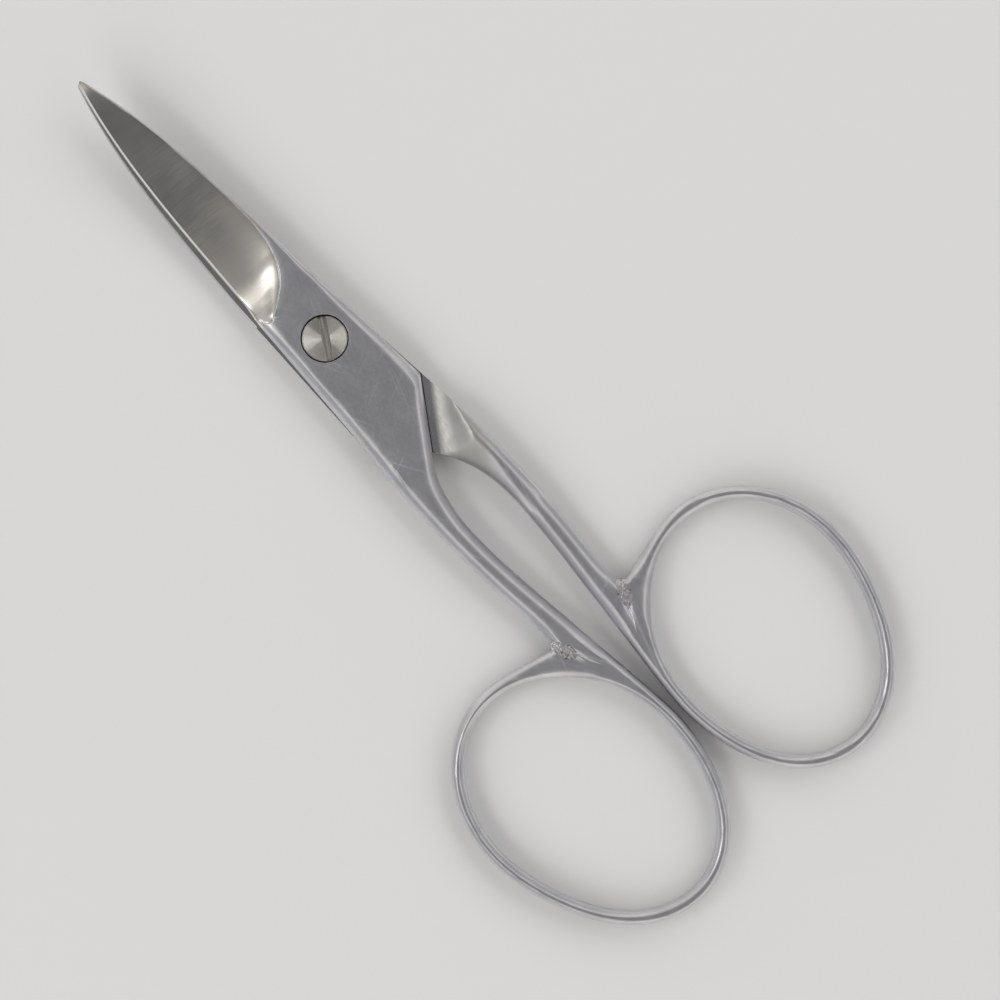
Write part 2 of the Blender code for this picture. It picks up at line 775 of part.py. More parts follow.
def joint_cutter(half):
    """What the joint leaves open under the blank. Its ramp gets longer and flatter towards the inner edge."""
    corner = Vector((-shoulder_distance, half.other_shoulder_reach))
    elbow = Vector((-mix(shoulder_distance, crotch_distance, elbow_share), -half.other_elbow_reach))
    along = (elbow - corner).normalized()
    back = Vector((along.y, -along.x))
    shares = [step / ramp_steps for step in range(ramp_steps + 1)]
    stations = [(corner.lerp(elbow, share), share) for share in shares]
    stations = [(corner - along * crotch_distance, 0)] + stations + [(elbow + along * crotch_distance, 1)]
    mesh = bmesh.new()
    rings = []
    for base, share in stations:
        profile = ramp_profile(mix(ramp_fillet, ramp_inner_fillet, share), mix(ramp_angle, ramp_inner_angle, share))
        plan = [(base + back * reach, height) for reach, height in profile]
        rings.append([mesh.verts.new(flat_placed(half, (spot.x, spot.y, height))) for spot, height in plan])
    mesh.faces.new(rings[0])
    mesh.faces.new(rings[-1])
    for first, second in zip(rings, rings[1:]):
        for i in range(len(first)):
            j = (i + 1) % len(first)
            mesh.faces.new((first[i], first[j], second[j], second[i]))
    face_outwards(mesh)
    everything = mesh.verts[:] + mesh.edges[:] + mesh.faces[:]
    front = bmesh.ops.bisect_plane(
        mesh, geom=everything, plane_co=(ride_front + ride_step, 0, 0), plane_no=(1, 0, 0), clear_outer=True)
    rim = [item for item in front["geom_cut"] if isinstance(item, bmesh.types.BMEdge)]
    bmesh.ops.contextual_create(mesh, geom=rim)
    face_outwards(mesh)
    return add_cutter(f"{half.name}_joint_cutter", mesh)


def flat_placed(half, point):
    """Bring a point of a cutter to its place, without the blade's curve."""
    x, y, z = point
    if half.turned_over:
        return Vector((x, -y, joint_thickness - z))
    return Vector((x, y, z))


def turned_mesh(profile):
    """A solid turned round the pivot axis from (radius, height) points that start and end on the axis."""
    mesh = bmesh.new()
    rings = []
    for radius, height in profile:
        if radius == 0:
            rings.append([mesh.verts.new((0, 0, height))])
            continue
        ring = []
        for step in range(turned_steps):
            turn = 2 * math.pi * step / turned_steps
            ring.append(mesh.verts.new((radius * math.cos(turn), radius * math.sin(turn), height)))
        rings.append(ring)
    for lower_ring, upper_ring in zip(rings, rings[1:]):
        for step in range(turned_steps):
            following = (step + 1) % turned_steps
            corners = [
                lower_ring[step % len(lower_ring)], lower_ring[following % len(lower_ring)],
                upper_ring[following % len(upper_ring)], upper_ring[step % len(upper_ring)],
            ]
            mesh.faces.new(list(dict.fromkeys(corners)))
    face_outwards(mesh)
    return mesh


def screw_hole(half):
    """The hole for the screw: a counterbored clearance hole above, a threaded hole below."""
    below, above = -joint_cut_overrun, joint_thickness + joint_cut_overrun
    if half.turned_over:
        radius = thread_diameter / 2 + thread_gap
        profile = [(0, below), (radius, below), (radius, above), (0, above)]
        return add_cutter("tapped_hole_cutter", turned_mesh(profile))
    hole = shoulder_diameter / 2 + shoulder_hole_gap
    bore = head_diameter / 2 + head_gap
    seat = joint_thickness - counterbore_depth
    profile = [(0, below), (hole, below), (hole, seat), (bore, seat), (bore, above), (0, above)]
    return add_cutter("counterbore_cutter", turned_mesh(profile))


def weld_outline(grow):
    """Centre and two half axes of the weld bead, in plan, grown by a gap."""
    along = Vector((-math.cos(weld_lean), -math.sin(weld_lean)))
    across = Vector((-along.y, along.x))
    centre = crotch_point + along * weld_length * weld_centre_share
    return centre, along * (weld_length / 2 + grow), across * (weld_width / 2 + grow)


def weld_pocket(half):
    """Cutter for the seat that the weld bead fills, right through the crotch."""
    centre, long_axis, wide_axis = weld_outline(weld_gap)
    mesh = bmesh.new()
    rings = []
    for level in (-joint_cut_overrun, joint_thickness + joint_cut_overrun):
        ring = []
        for step in range(weld_segments):
            turn = 2 * math.pi * step / weld_segments
            spot = centre + long_axis * math.cos(turn) + wide_axis * math.sin(turn)
            ring.append(mesh.verts.new(flat_placed(half, (spot.x, spot.y, level))))
        rings.append(ring)
        mesh.faces.new(ring)
    for step in range(len(rings[0])):
        following = (step + 1) % len(rings[0])
        mesh.faces.new((rings[0][step], rings[0][following], rings[1][following], rings[1][step]))
    face_outwards(mesh)
    return add_cutter(f"{half.name}_weld_cutter", mesh)


def add_weld(half, material):
    """The weld bead: a domed pad that fills the crotch from the underside to the top."""
    centre, long_axis, wide_axis = weld_outline(0.0)
    bottom, top = shank_levels(half, -crotch_distance)
    middle, rise = (bottom + top) / 2, (top - bottom) / 2 - weld_inset
    mesh = bmesh.new()
    bmesh.ops.create_uvsphere(mesh, u_segments=weld_segments, v_segments=weld_rings, radius=1)
    for vertex in mesh.verts:
        height = vertex.co.z
        turn = math.atan2(vertex.co.y, vertex.co.x)
        spread = math.sqrt(max(1 - height ** 4, 0.0))
        spot = centre + long_axis * spread * math.cos(turn) + wide_axis * spread * math.sin(turn)
        vertex.co = flat_placed(half, (spot.x, spot.y, middle + rise * height))
    face_outwards(mesh)
    return add_object(f"{half.name}_bow_weld", mesh, material)


def add_half(half, material):
    """One forged half, with its joint face, its screw hole and the seat of its weld cut."""
    item = add_object(f"{half.name}_half", blank_mesh(half), material)
    cut(item, joint_cutter(half))
    cut(item, screw_hole(half))
    cut(item, weld_pocket(half))
    return item


def add_screw(material):
    """The pivot screw: domed slotted head, smooth shoulder and threaded end."""
    seat = joint_thickness - counterbore_depth
    head_under = seat + head_seat_gap
    head_radius = head_diameter / 2
    shoulder_end = half_thickness + head_seat_gap
    thread_radius = thread_diameter / 2
    profile = [
        (0, 0),
        (thread_radius - thread_chamfer, 0),
        (thread_radius, thread_chamfer),
        (thread_radius, shoulder_end),
        (shoulder_diameter / 2, shoulder_end),
        (shoulder_diameter / 2, head_under),
        (head_radius, head_under),
        (head_radius, joint_thickness - head_chamfer),
    ]
    rim = head_radius - head_chamfer
    for step in range(round_steps + 1):
        share = step / round_steps
        profile.append((rim * (1 - share), joint_thickness + head_crown * (1 - (1 - share) ** 2)))
    item = add_object("pivot_screw", turned_mesh(profile), material)
    slot = bmesh.new()
    bmesh.ops.create_cube(slot, size=1)
    along = Vector((math.cos(slot_angle), math.sin(slot_angle)))
    aside = Vector((-along.y, along.x))
    floor = joint_thickness - slot_depth
    height = slot_depth + head_crown * 2
    for vertex in slot.verts:
        x, y, z = vertex.co
        spot = along * (x * head_diameter * slot_reach_share) + aside * (y * slot_width + slot_offset)
        vertex.co = (spot.x, spot.y, floor + height * (z + 0.5))
    cut(item, add_cutter("slot_cutter", slot))
    return item


def main():
    """Build the scissors closed, as they lie on a table."""
    for item in list(bpy.data.objects):
        bpy.data.objects.remove(item, do_unlink=True)
    forged = steel("satin_forged_steel", (0.50, 0.50, 0.51), 0.34)
    weld = steel("rough_weld", (0.36, 0.35, 0.34), 0.62)
    turned = steel("turned_screw_steel", (0.60, 0.58, 0.53), 0.26)
    for half in (upper, lower):
        add_half(half, forged)
        add_weld(half, weld)
    add_screw(turned)


main()
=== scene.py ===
"""Each half is a smooth skin over its CAD solid, with its own finish on the body, on the ground faces and on the
ramp behind the joint. The screw and the two weld beads are modelled anew.
"""

import json
import logging
import math
from dataclasses import dataclass
from enum import Enum

import bmesh
import bpy
import numpy as np
from bpy.types import Material, Node, NodeSocket, NodeTree, Object
from mathutils import Matrix, Vector, noise
from mathutils.bvhtree import BVHTree

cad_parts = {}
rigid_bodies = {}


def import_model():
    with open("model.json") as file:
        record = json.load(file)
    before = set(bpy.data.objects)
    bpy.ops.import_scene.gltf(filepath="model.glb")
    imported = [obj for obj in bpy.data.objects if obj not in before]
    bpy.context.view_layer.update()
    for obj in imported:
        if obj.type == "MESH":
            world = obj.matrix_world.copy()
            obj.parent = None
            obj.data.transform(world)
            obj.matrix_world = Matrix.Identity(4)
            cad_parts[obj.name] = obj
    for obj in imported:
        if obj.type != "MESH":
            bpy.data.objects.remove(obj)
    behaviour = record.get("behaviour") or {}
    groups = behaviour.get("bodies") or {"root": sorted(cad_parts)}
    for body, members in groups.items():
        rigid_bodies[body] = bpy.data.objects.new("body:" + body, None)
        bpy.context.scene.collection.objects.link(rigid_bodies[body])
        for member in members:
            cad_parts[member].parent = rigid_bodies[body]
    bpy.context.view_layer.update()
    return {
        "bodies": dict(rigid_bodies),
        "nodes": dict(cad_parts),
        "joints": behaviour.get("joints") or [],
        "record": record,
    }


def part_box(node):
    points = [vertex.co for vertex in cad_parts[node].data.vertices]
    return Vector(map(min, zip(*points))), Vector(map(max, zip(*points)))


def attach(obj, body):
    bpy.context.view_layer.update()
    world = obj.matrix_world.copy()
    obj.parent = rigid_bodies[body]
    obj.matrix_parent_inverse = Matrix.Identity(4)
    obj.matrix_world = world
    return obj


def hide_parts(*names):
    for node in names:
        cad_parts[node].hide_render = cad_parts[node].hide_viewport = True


Pair = tuple[float, float]
Triple = tuple[float, float, float]
MM = 0.001
FAR = 9.0
LOG = logging.getLogger("nail_scissors")


class Region(Enum):
    """Part of a half with a material of its own. The value is its slot's number."""

    BODY = 0
    JOINT = 1
    # BORE is the counterbore wall, painted near-black as shade in the gap round the screw head
    BORE = 2


def leave_nothing_selected() -> None:
    """Go back to object mode with every object deselected."""
    if bpy.context.object and bpy.context.object.mode != "OBJECT":
        bpy.ops.object.mode_set(mode="OBJECT")
    bpy.ops.object.select_all(action="DESELECT")


def pick(piece: Object) -> None:
    """Make one object the only one that is selected, and the active one.

    Args:
        piece: The object that the next operators work on.
    """
    leave_nothing_selected()
    piece.select_set(True)
    bpy.context.view_layer.objects.active = piece


def start_editing(piece: Object, kind: str) -> None:
    """Enter edit mode on one object, with nothing selected.

    Args:
        piece: The object to edit.
        kind: What gets selected there, such as EDGE.
    """
    pick(piece)
    bpy.ops.object.mode_set(mode="EDIT")
    bpy.ops.mesh.select_mode(type=kind)
    bpy.ops.mesh.select_all(action="DESELECT")


def apply_modifier(piece: Object, kind: str, **settings: object) -> None:
    """Add a modifier to an object and apply it.

    Args:
        piece: The object that gets the modifier.
        kind: The modifier's type.
        **settings: Values of the modifier's properties.
    """
    pick(piece)
    modifier = piece.modifiers.new(kind.lower(), kind)
    for key, value in settings.items():
        setattr(modifier, key, value)
    bpy.ops.object.modifier_apply(modifier=modifier.name)


def smooth_step(value: float, low: float, high: float) -> float:
    """Rise smoothly from 0 where the value is low to 1 where it is high."""
    share = min(max((value - low) / (high - low), 0.0), 1.0)
    return share * share * (3 - 2 * share)


def add_node(tree: NodeTree, kind: str, inputs: dict[str | int, object], **settings: object) -> Node:
    """Add a node to a tree, set it up and fill its inputs.

    Args:
        tree: The node tree.
        kind: The node's type.
        inputs: An output socket, a number or a tuple for each input, by its name or number.
        **settings: Values of the node's properties.

    Returns:
        The new node.
    """
    node = tree.nodes.new(kind)
    for key, value in settings.items():
        setattr(node, key, value)
    for key, value in inputs.items():
        if isinstance(value, NodeSocket):
            tree.links.new(value, node.inputs[key])
        else:
            node.inputs[key].default_value = value
    return node


def turned_place(tree: NodeTree, kind: str, turn: float, scale: Triple) -> NodeSocket:
    """Add coordinates that are turned about Z and then stretched.

    Args:
        tree: The node tree.
        kind: Name of the coordinates, such as Object.
        turn: The turn in radians.
        scale: The stretch along X, Y and Z.

    Returns:
        The coordinates.
    """
    place = add_node(tree, "ShaderNodeTexCoord", {})
    turned = add_node(tree, "ShaderNodeMapping", {"Vector": place.outputs[kind], "Rotation": (0, 0, turn)})
    inputs = {0: turned.outputs["Vector"], 1: scale}
    return add_node(tree, "ShaderNodeVectorMath", inputs, operation="MULTIPLY").outputs["Vector"]


class SteelTree:
    """Node tree of a steel, with short ways to add patterns to it."""

    def __init__(self, name: str) -> None:
        """Start a metal material.

        Args:
            name: Name of the material.
        """
        self.material = bpy.data.materials.new(name)
        self.material.use_nodes = True
        self.tree = self.material.node_tree
        self.shader = self.tree.nodes["Principled BSDF"]
        self.shader.inputs["Metallic"].default_value = 1.0

    def noise(self, scale: Triple, turn: float, detail: float) -> NodeSocket:
        """Add a noise pattern on the object's own coordinates.

        Args:
            scale: Repeats of the pattern per metre along X, Y and Z.
            turn: Turn of the pattern about Z, in radians.
            detail: Octaves of the noise.

        Returns:
            The pattern, from 0 to 1.
        """
        place = turned_place(self.tree, "Object", turn, scale)
        inputs = {"Vector": place, "Scale": 1.0, "Detail": detail}
        return add_node(self.tree, "ShaderNodeTexNoise", inputs).outputs["Fac"]

    def remap(self, value: NodeSocket, low: float, high: float, to_low: float = 0.0,
              to_high: float = 1.0) -> NodeSocket:
        """Map a value smoothly from one range to another.

        Args:
            value: The value to map.
            low: Start of its range.
            high: End of its range.
            to_low: What the start becomes.
            to_high: What the end becomes.

        Returns:
            The mapped value.
        """
        inputs = {"Value": value, "From Min": low, "From Max": high, "To Min": to_low, "To Max": to_high}
        return add_node(self.tree, "ShaderNodeMapRange", inputs, interpolation_type="SMOOTHSTEP").outputs["Result"]

    def math(self, kind: str, one: object, two: object) -> NodeSocket:
        """Work with two values, each an output or a number, by the operation of this name."""
        return add_node(self.tree, "ShaderNodeMath", {0: one, 1: two}, operation=kind).outputs["Value"]

    def mix(self, share: NodeSocket, below: object, above: object,
            colour: bool = False) -> NodeSocket:
        """Blend two values or colours.

        Args:
            share: Share of the second one.
            below: What a share of 0 gives.
            above: What a share of 1 gives.
            colour: True for colours, False for numbers.

        Returns:
            The blend.
        """
        # Numbers of the node's first input and of its output for this type of data
        first, result = (6, 2) if colour else (2, 0)
        node = add_node(self.tree, "ShaderNodeMix", {0: share, first: below, first + 1: above},
                        data_type="RGBA" if colour else "FLOAT")
        return node.outputs[result]

    def attribute(self, name: str) -> NodeSocket:
        """Read a number that the mesh carries at each vertex under this name."""
        return add_node(self.tree, "ShaderNodeAttribute", {}, attribute_name=name).outputs["Fac"]

    def finish(self, colour: NodeSocket, roughness: NodeSocket,
               height: NodeSocket) -> Material:
        """Join the patterns to the shader.

        Args:
            colour: The steel's colour.
            roughness: Its roughness.
            height: Height of its surface, in metres.

        Returns:
            The material.
        """
        bump = add_node(self.tree, "ShaderNodeBump", {"Height": height, "Strength": 1.0, "Distance": 1.0})
        for key, value in (("Normal", bump.outputs["Normal"]), ("Base Color", colour), ("Roughness", roughness)):
            self.tree.links.new(value, self.shader.inputs[key])
        return self.material


@dataclass(frozen=True)
class SteelFinish:
    """How one surface of the steel was finished, with all lengths in metres."""

    colour: Triple
    shade: Triple
    roughness: float
    roughness_spread: float
    grain: Triple
    grain_depth: float
    mottle: Triple
    turn: float = 0.0
    scratch: float = 0.0
    wave: Triple = (0.0, 0.0, 0.0)
    wave_depth: float = 0.0
    pit_scale: float = 0.0
    pit_depth: float = 0.0

    def patterns(self, tree: SteelTree) -> tuple[NodeSocket, NodeSocket, NodeSocket]:
        """Add this finish's patterns to a material.

        Args:
            tree: The material's tree.

        Returns:
            Its colour, its roughness and its height in metres.
        """
        cloud = tree.remap(tree.noise(self.mottle, self.turn, 2.0), 0.30, 0.70)
        colour = tree.mix(cloud, (*self.colour, 1), (*self.shade, 1), colour=True)
        grain = tree.noise(self.grain, self.turn, 2.0)
        roughness = tree.remap(grain, 0.3, 0.7, self.roughness - self.roughness_spread,
                               self.roughness + self.roughness_spread)
        height = tree.math("MULTIPLY", grain, self.grain_depth)
        if self.wave_depth:
            wave = tree.noise(self.wave, self.turn, 1.0)
            height = tree.math("ADD", height, tree.math("MULTIPLY", wave, self.wave_depth))
        if self.scratch:
            for lean in (0.35, -0.5, 1.2):
                lines = tree.remap(tree.noise((70.0, 2600.0, 70.0), self.turn + lean, 1.0), 0.64, 0.74)
                roughness = tree.math("ADD", roughness, tree.math("MULTIPLY", lines, self.scratch))
        if self.pit_depth:
            pits = tree.remap(tree.noise((self.pit_scale,) * 3, self.turn, 1.0), 0.60, 0.72)
            height = tree.math("SUBTRACT", height, tree.math("MULTIPLY", pits, self.pit_depth))
            colour = tree.mix(pits, colour, (*(0.45 * part for part in self.shade), 1), colour=True)
            roughness = tree.mix(pits, roughness, 0.75)
        return colour, roughness, height


@dataclass(frozen=True)
class Overlay:
    """A second finish that takes over where an attribute of the mesh rises."""

    attribute: str
    finish: SteelFinish
    low: float = 0.0
    high: float = 1.0
    step: float = 0.0


@dataclass(frozen=True)
class EdgeLine:
    """A narrow line where an attribute of the mesh, in millimetres, has one value: a small bevel with a painted
    highlight, or a painted shade line.
    """

    attribute: str
    width: float
    drop: float = 0.0
    place: float = 0.0
    # Light by default: a painted highlight along the bevel
    colour: Triple = (0.93, 0.92, 0.90)


def steel(name: str, base: SteelFinish, overlays: tuple[Overlay, ...] = (),
          lines: tuple[EdgeLine, ...] = ()) -> Material:
    """Make the material of a steel surface.

    Args:
        name: Name of the material.
        base: The finish of most of the surface.
        overlays: Finishes that take over where the mesh says so.
        lines: Bevels with painted highlights, and painted shade lines, along its edges.

    Returns:
        The new material.
    """
    tree = SteelTree(name)
    colour, roughness, height = base.patterns(tree)
    for overlay in overlays:
        share = tree.remap(tree.attribute(overlay.attribute), overlay.low, overlay.high)
        above = overlay.finish.patterns(tree)
        colour = tree.mix(share, colour, above[0], colour=True)
        roughness = tree.mix(share, roughness, above[1])
        height = tree.mix(share, height, above[2])
        if overlay.step:
            height = tree.math("SUBTRACT", height, tree.math("MULTIPLY", share, overlay.step))
    # Each line's colour is painted on: light for a highlight along a bevel, dark for shade in a gap
    for line in lines:
        inside = tree.math("ABSOLUTE", tree.math("SUBTRACT", tree.attribute(line.attribute), line.place), 0.0)
        share = tree.remap(inside, 0.8 * line.width, 1.1 * line.width, 1.0, 0.0)
        colour = tree.mix(share, colour, (*line.colour, 1), colour=True)
        if line.drop:
            height = tree.math("SUBTRACT", height, tree.remap(inside, 0.0, line.width, line.drop, 0.0))
    return tree.finish(colour, roughness, height)


SATIN_FINISH = SteelFinish(
    colour=(0.73, 0.725, 0.745), shade=(0.65, 0.645, 0.67), roughness=0.31, roughness_spread=0.03,
    grain=(3200.0, 4600.0, 4600.0), grain_depth=0.0005 * MM, mottle=(330.0, 420.0, 420.0), scratch=0.08)
GROUND_FINISH = SteelFinish(
    colour=(0.53, 0.51, 0.475), shade=(0.42, 0.41, 0.395), roughness=0.19, roughness_spread=0.03,
    grain=(7500.0, 420.0, 900.0), grain_depth=0.0004 * MM, mottle=(190.0, 130.0, 200.0), turn=0.12,
    wave=(300.0, 70.0, 60.0), wave_depth=0.0008 * MM)
RAMP_FINISH = SteelFinish(
    colour=(0.64, 0.63, 0.61), shade=(0.56, 0.55, 0.53), roughness=0.44, roughness_spread=0.05,
    grain=(1500.0, 7000.0, 4000.0), grain_depth=0.0006 * MM, mottle=(500.0, 500.0, 500.0))
JOINT_FINISH = SteelFinish(
    colour=(0.56, 0.555, 0.55), shade=(0.48, 0.475, 0.47), roughness=0.20, roughness_spread=0.04,
    grain=(900.0, 8000.0, 900.0), grain_depth=0.0005 * MM, mottle=(300.0, 600.0, 300.0))
HEAD_FINISH = SteelFinish(
    colour=(0.74, 0.72, 0.66), shade=(0.62, 0.60, 0.545), roughness=0.32, roughness_spread=0.04,
    grain=(5000.0, 5000.0, 5000.0), grain_depth=0.0006 * MM, mottle=(800.0, 800.0, 800.0))
# Much lighter steel for two sectors of the screw head: a painted bow-tie highlight facing the key light
SECTOR_HIGHLIGHT_FINISH = SteelFinish(
    colour=(1.0, 0.98, 0.92), shade=(0.90, 0.88, 0.81), roughness=0.38, roughness_spread=0.04,
    grain=(5000.0, 5000.0, 5000.0), grain_depth=0.0010 * MM, mottle=(1600.0, 1600.0, 1600.0))
SLOT_FINISH = SteelFinish(
    colour=(0.95, 0.92, 0.83), shade=(0.26, 0.24, 0.20), roughness=0.28, roughness_spread=0.08,
    grain=(300.0, 5200.0, 900.0), grain_depth=0.016 * MM, mottle=(200.0, 4200.0, 700.0),
    turn=math.radians(-148))
# Near-black steel for the counterbore wall and the screw head's rim: painted shade in the gap round the head
BORE_SHADE_FINISH = SteelFinish(
    colour=(0.10, 0.095, 0.09), shade=(0.05, 0.045, 0.04), roughness=0.55, roughness_spread=0.10,
    grain=(4000.0, 4000.0, 4000.0), grain_depth=0.001 * MM, mottle=(1500.0, 1500.0, 1500.0))
WELD_FINISH = SteelFinish(
    colour=(0.74, 0.73, 0.735), shade=(0.60, 0.59, 0.59), roughness=0.38, roughness_spread=0.06,
    grain=(3600.0, 3600.0, 3600.0), grain_depth=0.004 * MM, mottle=(1500.0, 1500.0, 1500.0),
    pit_scale=3600.0, pit_depth=0.005 * MM)

# Line round the ground face on the blank, in millimetres, from the edge's heel round the plunge to the tip
PLUNGE_X = (6.6, 5.6, 4.98, 4.62, 4.29, 4.3, 4.5, 4.8, 5.2, 5.6, 6.1, 6.6, 7.2, 7.8, 8.4, 9.0, 10.0, 12.0, 15.0,
            19.0, 23.0, 27.0, 30.8, 34.0)
UPPER_PLUNGE = tuple(zip(PLUNGE_X, (
    3.60, 3.30, 3.08, 2.91, 2.56, 2.25, 2.04, 1.61, 0.97, 0.37, -0.30, -0.78, -1.23, -1.55, -1.78, -1.97, -2.21,
    -2.47, -2.44, -2.16, -1.73, -1.10, -0.22, 0.52)))
LOWER_PLUNGE = tuple(zip(PLUNGE_X, (
    3.25, 2.97, 2.76, 2.58, 2.24, 1.94, 1.72, 1.27, 0.58, -0.06, -0.76, -1.27, -1.75, -2.09, -2.33, -2.52, -2.75,
    -3.00, -2.96, -2.65, -2.18, -1.47, -0.50, 0.32)))


@dataclass
class ForgedHalf:
    """One half of the scissors: a smooth skin over the CAD solid, crowned, and dressed by place.

    Heights and places are those of the flat blank: its bow at +Y, its joint face down, the pivot axis on Z.
    A pair of numbers whose name ends in fade is where a smooth step starts and ends.
    """

    node: str
    body: str
    turned_over: bool
    plunge: tuple[Pair, ...]
    shoulder_reach: float
    elbow_reach: float
    thickness: float = 3.0 * MM
    joint_face: float = 1.525 * MM
    joint_level: float = 1.53 * MM
    joint_low: float = 1.38 * MM
    joint_top: float = 1.62 * MM
    sharp_angle: float = math.radians(33)
    # How far heights spread, and where
    relax_passes: int = 500
    least_gap: float = 0.012 * MM
    wall_fade: Pair = (0.15, 0.60)
    crown: float = 0.44 * MM
    bow_crown: float = 0.24 * MM
    bow_fade: Pair = (-37.0 * MM, -33.0 * MM)
    valley_blend: float = 0.45 * MM
    valley_radius: float = 3.5 * MM
    seat_centre: Pair = (-34.978 * MM, 3.690 * MM)
    seat_long: Pair = (-1.081 * MM, -0.393 * MM)
    seat_wide: Pair = (0.214 * MM, -0.587 * MM)
    seat_keep: float = 1.06
    # Flat round the screw
    bore_radius: float = 2.15 * MM
    rim_chamfer: float = 0.05 * MM
    rim_keep: float = 2.35 * MM
    # Blade, from the corner of its plunge
    curve_start: float = 6.0 * MM
    curve_radius: float = 100.0 * MM
    blade_start: float = 4.3 * MM
    plunge_blend: float = 0.12 * MM
    heel_fade: Pair = (0.5 * MM, 3.9 * MM)
    heel_height_fade: Pair = (1.62 * MM, 2.2 * MM)
    leaf_fade: Pair = (6.0 * MM, 8.0 * MM)
    corner_point: int = 3
    corner_blend: float = 0.11 * MM
    corner_cell: float = 0.04 * MM
    corner_fade: Pair = (0.5 * MM, 1.1 * MM)
    corner_reach: Pair = (1.6 * MM, 1.2 * MM)
    outline_cell: float = 0.4 * MM
    # Ramp behind the other half's shoulder
    shoulder: float = 8.1 * MM
    elbow: float = 15.2 * MM
    ramp_start: float = 0.82 * MM
    ramp_start_angle: float = math.radians(12)
    ramp_angles: Pair = (math.radians(40), math.radians(29))
    ramp_fillets: Pair = (2.6 * MM, 6.0 * MM)
    ramp_behind: Pair = (0.80 * MM, 9.0 * MM)
    ramp_x: Pair = (-24.0 * MM, -8.0 * MM)
    ramp_y: Pair = (-2.4 * MM, 6.0 * MM)
    ramp_run_out: float = 4.0 * MM
    facet_height: float = 0.05 * MM
    ramp_foot: float = 0.4 * MM
    ramp_scores: tuple[float, ...] = (0.52 * MM, 0.67 * MM, 0.97 * MM, 1.12 * MM, 1.30 * MM)
    score_x: Pair = (-17.0 * MM, -6.0 * MM)
    ramp_blend: float = 0.22 * MM
    ramp_cell: float = 0.08 * MM
    strip_fade: Pair = (0.10 * MM, 0.40 * MM)
    # Finishes behind the shoulder, in millimetres
    polish_fade: Pair = (0.35, 1.05)
    satin_fade: Pair = (3.5, 6.5)

    @property
    def flip(self) -> int:
        """Sign that turns an upward direction of the half into one of its blank."""
        return -1 if self.turned_over else 1

    def build(self, frame: dict, finishes: list[Material]) -> Object:
        """Make the skin, dress it and let it stand for the CAD node.

        Args:
            finishes: Materials in the order of Region.

        Returns:
            The finished skin.
        """
        skin = self._merged_copy(frame["nodes"][self.node])
        samples = self._ramp_samples(skin)
        if not self.turned_over:
            self._chamfer_bore(skin)
        start_editing(skin, "EDGE")
        bpy.ops.mesh.edges_select_sharp(sharpness=self.sharp_angle)
        bpy.ops.transform.edge_crease(value=1.0)
        bpy.ops.object.mode_set(mode="OBJECT")
        apply_modifier(skin, "SUBSURF", levels=2, render_levels=2, boundary_smooth="PRESERVE_CORNERS")
        self._score_ramp(skin)
        self._relax(skin)
        self._blend_ramp(skin, samples)
        self._calm_corner(skin)
        pick(skin)
        bpy.ops.object.shade_smooth_by_angle(angle=self.sharp_angle, keep_sharp_edges=False)
        self._dress(skin, finishes)
        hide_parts(self.node)
        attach(skin, self.body)
        return skin

    def _merged_copy(self, node: Object) -> Object:
        """Copy the CAD node, join its loose triangles and turn them into quads.

        Args:
            node: The CAD node's object.

        Returns:
            The copy, which belongs to no body yet.
        """
        skin = bpy.data.objects.new(f"{self.node}_skin", node.data.copy())
        bpy.context.scene.collection.objects.link(skin)
        pick(skin)
        bpy.ops.object.mode_set(mode="EDIT")
        bpy.ops.mesh.select_all(action="SELECT")
        bpy.ops.mesh.remove_doubles(threshold=0.001 * MM)
        bpy.ops.mesh.customdata_custom_splitnormals_clear()
        bpy.ops.mesh.tris_convert_to_quads(
            face_threshold=math.radians(30), shape_threshold=math.radians(180), topology_influence=1.0)
        bpy.ops.object.mode_set(mode="OBJECT")
        return skin

    def _chamfer_bore(self, skin: Object) -> None:
        """Break the edge of the counterbore.

        Args:
            skin: The upper half's skin.
        """
        start_editing(skin, "EDGE")
        near = 0.02 * MM
        mesh = bmesh.from_edit_mesh(skin.data)
        for edge in mesh.edges:
            edge.select = all(
                abs(math.hypot(vertex.co.x, vertex.co.y) - self.bore_radius) < near
                and abs(vertex.co.z - self.thickness) < near for vertex in edge.verts)
        mesh.select_flush_mode()
        bmesh.update_edit_mesh(skin.data)
        bpy.ops.mesh.bevel(offset=self.rim_chamfer, segments=2, affect="EDGES")
        bpy.ops.object.mode_set(mode="OBJECT")

    def _score_ramp(self, skin: Object) -> None:
        """Cut the joint side along the start of the ramp, so that it can turn down gently.

        Args:
            skin: The subdivided skin.
        """
        corner, along = self._shoulder_line()
        back = Vector((along.y, -along.x)).normalized()
        for behind in self.ramp_scores:
            start_editing(skin, "FACE")
            mesh = bmesh.from_edit_mesh(skin.data)
            for face in mesh.faces:
                face.select = (
                    face.normal.z * self.flip < -0.5 and self.score_x[0] < face.verts[0].co.x < self.score_x[1]
                    and all(self._blank(vertex.co).z < self.joint_top for vertex in face.verts))
            bmesh.update_edit_mesh(skin.data)
            start = corner + back * behind
            bpy.ops.mesh.bisect(plane_co=(start.x, start.y * self.flip, 0), plane_no=(back.x, back.y * self.flip, 0),
                                threshold=0.001 * MM)
            bpy.ops.object.mode_set(mode="OBJECT")

